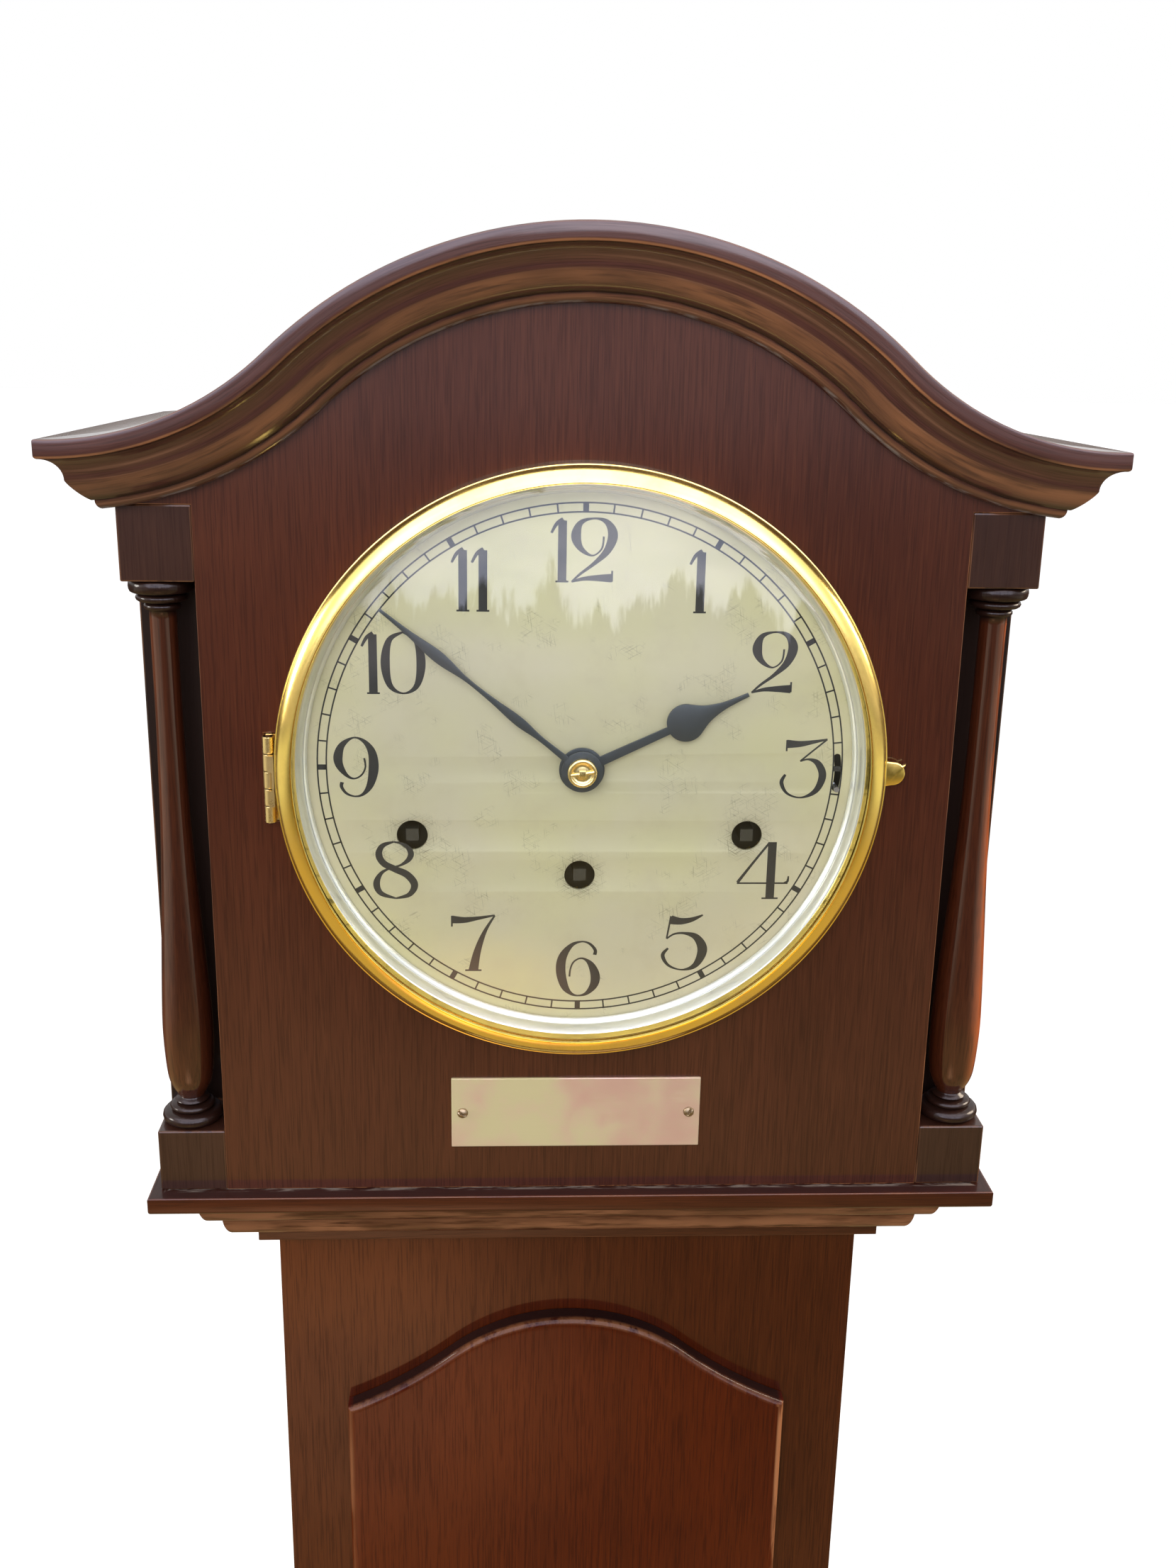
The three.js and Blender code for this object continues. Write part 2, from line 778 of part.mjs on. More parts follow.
function bezelCatch() {
  const start = bezelRadius + gap;
  const half = catchWidth / 2;
  const tab = new THREE.Shape();
  tab.moveTo(start, -half);
  tab.lineTo(bezelRadius + catchReach - half, -half);
  tab.absarc(bezelRadius + catchReach - half, 0, half, -Math.PI / 2, Math.PI / 2, false);
  tab.lineTo(start, half);
  return upright(tab, bezelBack - 2 * catchThickness, catchThickness, 6);
}

// Five knuckles in turn: odd ones stay on the board, even ones swing with the bezel
const knuckleCount = 5;

function knuckle(i) {
  const [bottom] = hingeSpan(0);
  const step = hingeLength / knuckleCount;
  return [bottom + i * step + gap / 2, bottom + (i + 1) * step - gap / 2];
}

function bezelHingeFixed() {
  const [bottom, top] = hingeSpan(0);
  const knuckles = [0, 2, 4].map((i) => rodUpright(knuckleRadius, ...knuckle(i), hingeX, hingeY, 8));
  const half = knuckleRadius / 2;
  const webs = [0, 2, 4].map((i) => {
    return box(hingeX - half, hingeX + half, hingeY, leafThickness, ...knuckle(i));
  });
  const leaf = box(hingeX - half, hingeX + leafWidth, 0, leafThickness, bottom, top);
  const pin = rodUpright(hingePinRadius, bottom, top, hingeX, hingeY, 8);
  return join(pin, leaf, ...knuckles, ...webs);
}

function bezelHingeLeaf() {
  const strapFront = hingeY - knuckleRadius - 2 * leafThickness;
  const parts = [1, 3].map((i) => {
    const [z0, z1] = knuckle(i);
    const arm = box(hingeX, -bezelRadius - gap, strapFront, hingeY, z0, z1);
    return join(rodUpright(knuckleRadius, z0, z1, hingeX, hingeY, 8), arm);
  });
  const [low] = knuckle(1);
  const [, high] = knuckle(3);
  const rim = -bezelRadius - gap;
  const strap = box(rim - leafThickness, rim, strapFront, hingeY - knuckleRadius - gap, low, high);
  const bore = rodUpright(hingePinRadius + gap, low - 1, high + 1, hingeX, hingeY, 8);
  return cut(join(strap, ...parts), bore);
}

piece(hood, 'bezel', bezel(), metal(brass, 0.2));
piece(hood, 'bezel_glass', bezelGlass(), new THREE.MeshStandardMaterial({
  color: 0xf4f8fa,
  roughness: 0.02,
  transparent: true,
  opacity: 0.15,
}));
piece(hood, 'sight_ring', sightRing(), metal(silvered, 0.25));
piece(hood, 'bezel_catch', bezelCatch(), metal(brass));
piece(hood, 'bezel_hinge_fixed', bezelHingeFixed(), metal(brass));
piece(hood, 'bezel_hinge_leaf', bezelHingeLeaf(), metal(brass));

// Hands and motion work, in front of the front plate

const pinionModule = cannonModule * (cannonLeaves + minuteTeeth) / (minuteLeaves + hourTeeth);
const gearCentres = cannonModule * (cannonLeaves + minuteTeeth) / 2;
const cannonY = plateY - wheelClearance - faceWidth;
const hourWheelY = dialRecess + dialThickness + wheelClearance;

function hand(blade, boss, bore, frontY, thickness, degrees) {
  const shape = upright(blade, frontY, thickness, 8);
  const eye = upright(disc(boss), frontY, thickness, 12);
  const flat = cut(join(shape, eye), rodAlongY(bore, frontY - 1, frontY + thickness + 1, 0, 0, 16));
  return flat.rotate([0, degrees, 0]);
}

// A blade from its root to its tip, given as distance from the arbor and half width
function blade(stations) {
  const right = stations.map(([r, half]) => [half, r]);
  const left = stations.map(([r, half]) => [-half, r]).reverse();
  return polygon(...right, ...left);
}

function minuteHand() {
  const swell = (share) => {
    const at = share * minuteLength;
    return [[at - 10, 1.15], [at, 2.2], [at + 10, 1.1]];
  };
  const outline = blade([[0, 1.4], ...swell(0.33), ...swell(0.72), [minuteLength, 0.6]]);
  return hand(outline, minuteBoss, centreArborRadius, minuteHandY, minuteThickness, minuteAngle);
}

function hourHand() {
  const shoulder = hourBulbAt + 0.7 * hourBulb;
  const taper = (hourLength - shoulder) / 3;
  const outline = blade([
    [0, 1.6],
    [hourBulbAt, 1.3],
    [shoulder, 4.8],
    [shoulder + taper, 2.6],
    [shoulder + 2 * taper, 1.5],
    [hourLength, 0.8],
  ]);
  const stem = hand(outline, hourBoss, hourPipeRadius - hourPipeWall / 2, hourHandY, hourThickness, 0);
  const bulb = upright(disc(hourBulb, 0, hourBulbAt), hourHandY, hourThickness, 8);
  return join(stem, bulb).rotate([0, hourAngle, 0]);
}

function collet() {
  const profile = points(
    [0, colletFront + colletHeight],
    [colletRadius, colletFront + colletHeight],
    [0.8 * colletRadius, colletFront + 0.5 * colletHeight],
    [0.4 * colletRadius, colletFront + 0.1 * colletHeight],
    [0, colletFront],
  );
  return turnedAlongY(profile, 20);
}

function cannonPinion() {
  const leaves = upright(gearShape(cannonLeaves, cannonModule, 0), cannonY, faceWidth);
  const middle = cannonY + faceWidth / 2;
  const pipe = rodAlongY(cannonPipeRadius, minuteHandY + minuteThickness + gap, middle, 0, 0, 14);
  const nose = rodAlongY(centreArborRadius - gap, minuteHandY, cannonY, 0, 0, 10);
  const arbor = rodAlongY(centreArborRadius, middle, plateY + plateThickness + plateSpacing, 0, 0, 10);
  return join(leaves, pipe, nose, arbor);
}

function minuteWheel() {
  const wheel = upright(gearShape(minuteTeeth, cannonModule, 0.5), cannonY, faceWidth);
  const pinion = upright(gearShape(minuteLeaves, pinionModule, 0.5), hourWheelY, cannonY - hourWheelY);
  const whole = join(wheel, pinion).translate([gearCentres, 0, 0]);
  return cut(whole, rodAlongY(arborRadius + gap, hourWheelY - 1, plateY, gearCentres, 0, 12));
}

function hourWheel() {
  const wheel = upright(gearShape(hourTeeth, pinionModule, 0), hourWheelY, faceWidth);
  const pipe = rodAlongY(hourPipeRadius, hourHandY + hourThickness + gap, hourWheelY + faceWidth, 0, 0, 16);
  const nose = rodAlongY(hourPipeRadius - hourPipeWall / 2 - gap / 2, hourHandY, hourWheelY, 0, 0, 16);
  const bore = rodAlongY(cannonPipeRadius + gap, hourHandY - 1, hourWheelY + faceWidth + 1, 0, 0, 14);
  return cut(join(wheel, pipe, nose), bore);
}

piece(hood, 'minute_hand', minuteHand(), metal(bluedSteel, 0.35));
piece(hood, 'hour_hand', hourHand(), metal(bluedSteel, 0.35));
piece(hood, 'hand_collet', collet(), metal(brass));
piece(hood, 'cannon_pinion', cannonPinion(), metal(steel));
piece(hood, 'minute_wheel', minuteWheel(), metal(brass));
piece(hood, 'hour_wheel', hourWheel(), metal(brass));

// Chime lever: it pivots on a stud of the front plate, and its tip comes through the dial's slot

const leverY = hourWheelY;

function chimeLever() {
  const outline = polygon([0, -2.2], [leverArm, -1.2], [leverArm, 1.2], [0, 2.2]);
  const arm = upright(outline, leverY, leverThickness);
  const hub = upright(disc(2 * leverStudRadius), leverY, leverThickness, 8);
  const [tipFront, tipBack] = [dialRecess - leverTipReach, leverY + leverThickness / 2];
  const tip = rodAlongY(leverTipRadius, tipFront, tipBack, leverArm, 0, 10);
  const bore = rodAlongY(leverStudRadius + gap, leverY - 1, leverY + leverThickness + 1, 0, 0, 12);
  const lever = cut(join(arm, hub, tip), bore);
  return lever.rotate([0, leverSwing / 2, 0]).translate([leverPivotX, 0, leverSlotMiddle]);
}

piece(hood, 'chime_lever', chimeLever(), metal(steel));

// Movement: two plates, barrels on winding arbors, escapement

const backPlateY = plateY + plateThickness + plateSpacing;
const movementBack = backPlateY + plateThickness;
const pendulumY = movementBack + pendulumBehindPlate;
const escapeZ = anchorHeight - Math.SQRT2 * escapeRadius;
const hammerArborY = movementBack + hammerArborBack;

function plateShape() {
  return rectangle(plateHalfWidth, -plateBottom, plateTop);
}

function arborHoles() {
  const holes = windings.map(([, x, z]) => circleHole(windingArborRadius + gap, x, z));
  const pivots = [[0, anchorHeight], [0, escapeZ]].map(([x, z]) => circleHole(arborRadius + gap, x, z));
  return [...holes, ...pivots, circleHole(centreArborRadius + gap)];
}

function frontPlate() {
  const shape = plateShape();
  shape.holes.push(...arborHoles());
  const plate = upright(shape, plateY, plateThickness, 5);
  const leverStud = rodAlongY(leverStudRadius, leverY, plateY + 1, leverPivotX, leverSlotMiddle, 10);
  const minuteStud = rodAlongY(arborRadius, hourWheelY, plateY + 1, gearCentres, 0, 10);
  return join(plate, leverStud, minuteStud);
}

function backPlate() {
  const shape = plateShape();
  shape.holes.push(...arborHoles());
  const plate = upright(shape, backPlateY, plateThickness, 5);
  const pillarX = plateHalfWidth - pillarInset;
  const corners = [[-1, 1], [1, 1], [-1, -1], [1, -1]];
  const pillars = corners.map(([x, z]) => {
    const height = z > 0 ? plateTop - pillarInset : pillarInset - plateBottom;
    return rodAlongY(pillarRadius, plateY + plateThickness, backPlateY + 1, x * pillarX, height, 10);
  });
  return join(plate, ...pillars, suspensionCock(), hammerBracket());
}

// The cock carries the suspension spring in a slit over the anchor's axis
const cockBottom = anchorHeight + arborRadius + 1;
const cockTop = cockBottom + cockHeight;

function suspensionCock() {
  const end = pendulumY + springWidth / 2 + 3;
  const arm = box(-cockHalfWidth, cockHalfWidth, backPlateY + 1, end, cockBottom, cockTop);
  const slitStart = pendulumY - springWidth / 2 - 1;
  const slit = box(-slitHalfWidth, slitHalfWidth, slitStart, end + 1, cockBottom - 1, cockTop + 1);
  return cut(arm, slit);
}

function hammerBracket() {
  const first = hammerFirstX - hammerPitch / 2;
  const last = hammerLastX + hammerPitch / 2;
  const reach = 2 * hammerArborRadius;
  const ears = [first, last].map((x) => {
    const [low, high] = [-hammerArborDrop - reach, -hammerArborDrop + reach];
    return box(x - 1, x + 1, backPlateY + 1, hammerArborY + reach, low, high);
  });
  return join(rodAlongX(hammerArborRadius, first, last, hammerArborY, -hammerArborDrop, 8), ...ears);
}

piece(hood, 'front_plate', frontPlate(), metal(brass, 0.35));
piece(hood, 'back_plate', backPlate(), metal(brass, 0.35));

const barrelStart = plateY + plateThickness + (plateSpacing - barrelLength) / 2;

function windingArbor(x, z) {
  const squareFront = dialRecess + dialThickness / 2;
  const ratchetY = plateY - gap - ratchetThickness;
  const half = windingSquare / 2;
  const square = box(x - half, x + half, squareFront, ratchetY + 1, z - half, z + half);
  const arbor = rodAlongY(windingArborRadius, ratchetY, movementBack, x, z, 12);
  const saw = toothedShape(ratchetTeeth, 0, [[ratchetRoot, 0], [ratchetRadius, 0.1]]);
  const ratchet = upright(saw, ratchetY, ratchetThickness).translate([x, 0, z]);
  return join(square, arbor, ratchet);
}

function barrel(x, z) {
  const end = barrelStart + barrelLength;
  const rim = 3;
  const drum = barrelRadius - 1.5;
  const bore = windingArborRadius + gap;
  const profile = points(
    [bore, barrelStart],
    [barrelRadius, barrelStart],
    [barrelRadius, barrelStart + rim],
    [drum, barrelStart + rim],
    [drum, end],
    [bore, end],
    [bore, barrelStart],
  );
  return turnedAlongY(profile, 20, x, z);
}

for (const [name, x, z] of windings) {
  piece(hood, `winding_arbor_${name}`, windingArbor(x, z), metal(steel));
  piece(hood, `barrel_${name}`, barrel(x, z), metal(brass, 0.4));
}

// The wheel stands a quarter tooth off, so that both pallets reach in between teeth
const escapeY = backPlateY - escapeInset;

function escapeWheel() {
  const root = 0.84 * escapeRadius;
  const phase = 0.25 + escapeTeeth / 8;
  const shape = toothedShape(escapeTeeth, phase, [[root, -0.3], [escapeRadius, 0], [root, 0.1]]);
  const wheel = upright(shape, escapeY, escapeThickness);
  const arbor = rodAlongY(arborRadius, plateY, movementBack, 0, 0, 10);
  return join(wheel, arbor).translate([0, 0, escapeZ]);
}

// The anchor's two pallets stand where tangents from its axis touch the wheel. Their corners are
// given by the distance out from that point and the distance along the wheel's rim.
function anchor() {
  const reach = escapeRadius / Math.SQRT2;
  const pallet = (out, along) => [reach + (out + along) / Math.SQRT2, -reach + (out - along) / Math.SQRT2];
  const arm = [
    pallet(5.7, -1.4),
    pallet(3.5, 0.9),
    pallet(palletLift, palletHalf),
    pallet(palletLift, -palletHalf),
    pallet(3.5, -1.2),
  ];
  const mirrored = arm.map(([x, z]) => [-x, z]).reverse();
  const body = upright(
    polygon([0, 4], ...arm, [0, -3], ...mirrored),
    escapeY - (palletThickness - escapeThickness) / 2,
    palletThickness,
  );
  const crutchY = movementBack + crutchThickness;
  const crutchEnd = crutchY + crutchThickness;
  const arbor = rodAlongY(arborRadius, plateY, crutchEnd, 0, 0, 10);
  const crutch = box(-2, 2, crutchY, crutchEnd, -crutchLength, 1);
  const forkHalf = rodRadius + 3;
  const mouthHalf = rodRadius + gap;
  const [low, high] = [-crutchLength - 3, -crutchLength + 3];
  const fork = box(-forkHalf, forkHalf, crutchY, pendulumY + rodRadius + 2, low, high);
  const mouth = box(-mouthHalf, mouthHalf, pendulumY - mouthHalf, pendulumY + forkHalf, low - 1, high + 1);
  return cut(join(body, arbor, crutch, fork), mouth).translate([0, 0, anchorHeight]);
}

piece(hood, 'escape_wheel', escapeWheel(), metal(brass));
piece(hood, 'anchor', anchor(), metal(steel));

// Pendulum, hung over the anchor's axis

const bobZ = anchorHeight - pendulumLength;
const nutZ = bobZ - bobRadius - gap - nutHeight;

function pendulumRod() {
  const half = springWidth / 2;
  const hookTop = anchorHeight - springLength;
  const hookHeight = 10;
  const [front, back] = [pendulumY - half - 1, pendulumY + half + 1];
  const slab = (halfWidth, y0, y1, z0, z1) => box(-halfWidth, halfWidth, y0, y1, z0, z1);
  const block = slab(4, front, back, cockTop + gap, cockTop + 4);
  const spring = slab(springThickness / 2, pendulumY - half, pendulumY + half, hookTop - 1, cockTop + 1);
  const hook = slab(4, front, back, hookTop - hookHeight, hookTop);
  const rod = rodUpright(rodRadius, nutZ - nutHeight, hookTop - hookHeight / 2, 0, pendulumY, 10);
  return join(block, spring, hook, rod);
}

function pendulumBob() {
  const half = bobThickness / 2;
  const profile = points(
    [0, pendulumY - half],
    [0.45 * bobRadius, pendulumY - 0.88 * half],
    [0.8 * bobRadius, pendulumY - 0.5 * half],
    [bobRadius, pendulumY - 0.12 * half],
    [bobRadius, pendulumY + 0.12 * half],
    [0.8 * bobRadius, pendulumY + 0.5 * half],
    [0.45 * bobRadius, pendulumY + 0.88 * half],
    [0, pendulumY + half],
  );
  const lens = turnedAlongY(profile, 24, 0, bobZ);
  const [low, high] = [bobZ - bobRadius - 1, bobZ + bobRadius + 1];
  return cut(lens, rodUpright(rodRadius + gap, low, high, 0, pendulumY, 10));
}

function ratingNut() {
  const bore = rodRadius + gap;
  const edge = 0.8 * nutRadius;
  const top = nutZ + nutHeight;
  const profile = points(
    [bore, nutZ],
    [edge, nutZ],
    [nutRadius, nutZ + nutHeight / 4],
    [nutRadius, top - nutHeight / 4],
    [edge, top],
    [bore, top],
    [bore, nutZ],
  );
  return turnedUpright(profile, 16, 0, pendulumY);
}

piece(hood, 'pendulum_rod', pendulumRod(), metal(steel));
piece(hood, 'pendulum_bob', pendulumBob(), metal(brass));
piece(hood, 'rating_nut', ratingNut(), metal(brass));

// Chime: hammers on the bracket's arbor, and a gong block with hanging rods

const gongY = hoodDepthInside - gongBlockDepth / 2;
const hammerHeadZ = -hammerArborDrop - hammerHeadDrop;
const headEnd = gongY - gongRodRadius - 2 * gap;
const gongTop = hammerHeadZ + hammerHeadRadius + 8;

function hammer(i) {
  const x = hammerFirstX + i * hammerPitch;
  const headMiddle = headEnd - hammerHeadLength / 2;
  const half = hammerThickness / 2;
  const head = rodAlongY(hammerHeadRadius, headEnd - hammerHeadLength, headEnd, x, hammerHeadZ, 10);
  const hub = rodAlongX(2 * hammerArborRadius + 1, x - half, x + half, hammerArborY, -hammerArborDrop, 10);
  const run = Math.hypot(headMiddle - hammerArborY, hammerHeadDrop);
  const lean = Math.atan2(headMiddle - hammerArborY, hammerHeadDrop);
  const wire = new THREE.CylinderGeometry(hammerWireRadius, hammerWireRadius, run, 6);
  const middleZ = -hammerArborDrop - hammerHeadDrop / 2;
  wire.rotateX(Math.PI / 2 + lean);
  const stem = solid(wire.translate(x, (hammerArborY + headMiddle) / 2, middleZ));
  const [left, right] = [x - half - 1, x + half + 1];
  const bore = rodAlongX(hammerArborRadius + gap, left, right, hammerArborY, -hammerArborDrop, 8);
  return cut(join(head, hub, stem), bore);
}

function gong() {
  const margin = 9;
  const [left, right] = [hammerFirstX - margin, hammerLastX + margin];
  const front = hoodDepthInside - gongBlockDepth;
  const block = box(left, right, front, hoodDepthInside, gongTop, gongTop + gongBlockHeight);
  const rods = Array.from({ length: hammerCount }, (_, i) => {
    const bottom = gongTop - gongRodLength + i * gongRodStep;
    return rodUpright(gongRodRadius, bottom, gongTop + 5, hammerFirstX + i * hammerPitch, gongY, 8);
  });
  return join(block, ...rods);
}

for (let i = 0; i < hammerCount; i += 1) {
  piece(hood, `hammer_${i + 1}`, hammer(i), metal(steel));
}
piece(hood, 'gong', gong(), metal(0x5a5148, 0.5));

// The seat board lies across the trunk sides, between the hood's rebated corners
function seatBoard() {
  const half = frontBoardHalf - boardThickness - doorPlay;
  const [front, back] = [plateY - 3, movementBack + 4];
  return box(-half, half, front, back, -plateBottom - seatThickness, -plateBottom);
}

piece(hood, 'seat_board', seatBoard(), wood(pine, 0.7));

// Trunk, drawn from its top front edge under the hood: Y = 0 on its face, Z = 0 at the hood's ledge

const trunk = new THREE.Group();
trunk.position.set(0, trunkFrontY, ledgeZ);

const doorCrown = -baseHeight - doorCrownDrop;
const doorArch = {
  crownRadius: doorCrownRadius,
  footRadius: doorFootRadius,
  crown: doorCrown,
  foot: doorCrown - doorArchRise,
};
const doorBottom = plinthMouldingHeight + doorBottomRail - trunkHeight;

function doorOutline(inset, Kind) {
  const arch = ogee(doorArch, -inset, doorHalfWidth - inset);
  const [half, bottom] = [doorHalfWidth - inset, doorBottom + inset];
  return new Kind([...arch, ...points([half, bottom], [-half, bottom])]);
}

function trunkFront() {
  const shape = rectangle(trunkHalfWidth, -trunkHeight, 0);
  shape.holes.push(doorOutline(doorOverlap - doorPlay, THREE.Path));
  return upright(shape, 0, trunkFrontThickness);
}

// The lip is drawn in by its rounding, and the bevel brings its rounded edge back out to size
function trunkDoor() {
  const bevel = {
    depth: doorLip,
    bevelThickness: doorRounding,
    bevelSize: doorRounding,
    bevelSegments: 3,
  };
  const lip = new THREE.ExtrudeGeometry(doorOutline(doorRounding, THREE.Shape), bevel);
  const placed = solid(lip.rotateX(Math.PI / 2).translate(0, doorRounding - gap, 0));
  const behind = box(-trunkHalfWidth, trunkHalfWidth, -gap, 2 * doorLip, -trunkHeight, 0);
  const tongue = upright(doorOutline(doorOverlap, THREE.Shape), -2 * gap, doorTongueDepth);
  const hole = rodAlongY(knobShaftRadius + gap, -2 * doorLip, 2 * doorTongueDepth, knobX, doorMiddle, 12);
  return cut(join(cut(placed, behind), tongue), hole);
}

const knobX = knobInset - doorHalfWidth;
const doorMiddle = (doorBottom + doorCrown) / 2;
const lipFront = -gap - doorLip;

function doorKnob() {
  const face = lipFront - gap;
  const out = (share) => face - share * knobLength;
  const tongueFront = trunkFrontThickness + gap;
  const tongueBack = tongueFront + tongueThickness;
  const profile = points(
    [0, out(1)],
    [0.6 * knobRadius, out(0.93)],
    [knobRadius, out(0.64)],
    [0.85 * knobRadius, out(0.39)],
    [0.45 * knobRadius, out(0.29)],
    [0.5 * knobRadius, out(0.11)],
    [0.95 * knobRadius, face],
    [knobShaftRadius, face],
    [knobShaftRadius, tongueBack],
    [0, tongueBack],
  );
  const knob = turnedAlongY(profile, 16, knobX, doorMiddle);
  const half = tongueWidth / 2;
  const [low, high] = [doorMiddle - half, doorMiddle + tongueLength];
  return join(knob, box(knobX - half, knobX + half, tongueFront, tongueBack, low, high));
}

// Lift-off hinges: the lower knuckle and the pin stay on the trunk, the upper knuckle swings
const doorHingeX = doorHalfWidth + doorKnuckleRadius + gap;
const doorHingeY = -doorKnuckleRadius - gap;

function doorHingeFixed(middle) {
  const half = doorHingeLength / 2;
  const top = middle - gap / 2;
  const barrelPart = rodUpright(doorKnuckleRadius, middle - half, top, doorHingeX, doorHingeY, 10);
  const pin = rodUpright(doorPinRadius, middle - half + 1, middle + half - 2, doorHingeX, doorHingeY, 8);
  const leafX = doorHingeX + doorKnuckleRadius + hingePlay;
  const leaf = box(leafX, leafX + doorLeafWidth, -doorLeafThickness, 0, middle - half, middle + half);
  const web = box(doorHingeX, leafX + 1, -doorLeafThickness, 0, middle - half, top);
  return join(barrelPart, pin, leaf, web);
}

function doorHingeLeaf(middle) {
  const half = doorHingeLength / 2;
  const bottom = middle + gap / 2;
  const top = middle + half;
  const barrelPart = rodUpright(doorKnuckleRadius, bottom, top, doorHingeX, doorHingeY, 10);
  const edge = doorHalfWidth + gap;
  const strapHalf = doorLeafThickness / 2;
  const strap = box(edge, doorHingeX, doorHingeY - strapHalf, doorHingeY + strapHalf, bottom, top);
  const leafFront = doorHingeY - doorLeafThickness;
  const leaf = box(edge, edge + doorLeafThickness, leafFront, -2 * gap, middle - half, top);
  const clear = rodUpright(doorKnuckleRadius + gap, middle - half - 1, bottom, doorHingeX, doorHingeY, 10);
  const bore = rodUpright(doorPinRadius + gap, bottom - 1, top - 1, doorHingeX, doorHingeY, 8);
  return cut(join(barrelPart, strap, cut(leaf, clear)), bore);
}

const doorHinges = [
  ['upper', doorArch.foot - doorHingeInset],
  ['lower', doorBottom + doorHingeInset],
];

const mouldingSkirt = baseSection();

piece(trunk, 'trunk_front', trunkFront(), wood(mahogany));
piece(trunk, 'trunk_door', trunkDoor(), wood(mahogany));
piece(trunk, 'door_knob', doorKnob(), metal(brass));
for (const [name, middle] of doorHinges) {
  piece(trunk, `door_hinge_${name}`, doorHingeFixed(middle), metal(brass));
  piece(trunk, `door_leaf_${name}`, doorHingeLeaf(middle), metal(brass));
}
const baseFront = straightFront(mouldingSkirt, trunkHalfWidth, 0, -baseHeight);
piece(trunk, 'hood_base_front', baseFront, wood(mahogany));

const seatUnderside = dialAboveLedge - plateBottom - seatThickness;
const trunkBackEnd = trunkDepthInside + backThickness;

function trunkSide(side) {
  const inner = trunkHalfWidth - boardThickness;
  const [left, right] = side < 0 ? [-trunkHalfWidth, -inner] : [inner, trunkHalfWidth];
  return box(left, right, trunkFrontThickness, trunkDepthInside, -trunkHeight, seatUnderside);
}

for (const [name, side] of sides) {
  piece(trunk, `trunk_side_${name}`, trunkSide(side), wood(mahogany));
  const base = straightReturn(mouldingSkirt, side, trunkHalfWidth, 0, trunkBackEnd, -baseHeight);
  piece(trunk, `hood_base_${name}`, base, wood(mahogany));
}

// Plinth, drawn on the floor, and the backboard behind the whole case

const plinth = new THREE.Group();
plinth.position.set(0, trunkFrontY, 0);

function plinthBox() {
  const inner = plinthHalfWidth - boardThickness;
  const plan = polygon(
    [-plinthHalfWidth, trunkDepthInside], [-plinthHalfWidth, -plinthStep],
    [plinthHalfWidth, -plinthStep], [plinthHalfWidth, trunkDepthInside],
    [inner, trunkDepthInside], [inner, boardThickness - plinthStep],
    [-inner, boardThickness - plinthStep], [-inner, trunkDepthInside],
  );
  return standing(plan, 0, plinthHeight);
}

// A moulding round three sides in one length, mitred at the two front corners
function aroundCase(section, halfWidth, frontY, endY, bottomZ) {
  const ring = (side, front) => section.map(({ x, y }) => {
    return new THREE.Vector3(side * (halfWidth + x), front ? frontY - x : endY, bottomZ + y);
  });
  return loft([ring(-1, false), ring(-1, true), ring(1, true), ring(1, false)], section);
}

function backboard() {
  const arch = ogee(hoodArch, corniceHeight, hoodHalfWidth);
  arch.forEach((p) => p.setY(p.y + dialZ));
  const shape = new THREE.Shape([
    ...points([-trunkHalfWidth, plinthHeight], [-plinthHalfWidth, plinthHeight], [-plinthHalfWidth, 0]),
    ...points([plinthHalfWidth, 0], [plinthHalfWidth, plinthHeight], [trunkHalfWidth, plinthHeight]),
    ...points([trunkHalfWidth, ledgeZ], [hoodHalfWidth, ledgeZ]),
    ...arch.reverse(),
    ...points([-hoodHalfWidth, ledgeZ], [-trunkHalfWidth, ledgeZ]),
  ]);
  return upright(shape, trunkDepthInside, backThickness);
}

piece(plinth, 'plinth_box', plinthBox(), wood(mahogany));
const plinthTop = aroundCase(plinthSection(), trunkHalfWidth, 0, trunkBackEnd, plinthHeight);
piece(plinth, 'plinth_moulding', plinthTop, wood(mahogany));
const skirt = aroundCase(skirtingSection(), plinthHalfWidth, -plinthStep, trunkBackEnd, 0);
piece(plinth, 'skirting', skirt, wood(mahogany));
piece(plinth, 'backboard', backboard(), wood(pine, 0.7));

const clock = new THREE.Group();
clock.add(hood, trunk, plinth);

export default clock;
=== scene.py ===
# %% [markdown]
# # A grandmother clock
# The clock is a slim longcase clock in French-polished mahogany. Its solids come from the packed
# frame, and this notebook dresses them: mouldings with worn arrises, turned columns, a brass bezel,
# a silvered dial with printed numerals, and the plain metal of the movement behind it.

# %% Load the frame
import json
import math

import bmesh
import bpy
from mathutils import Matrix, Vector


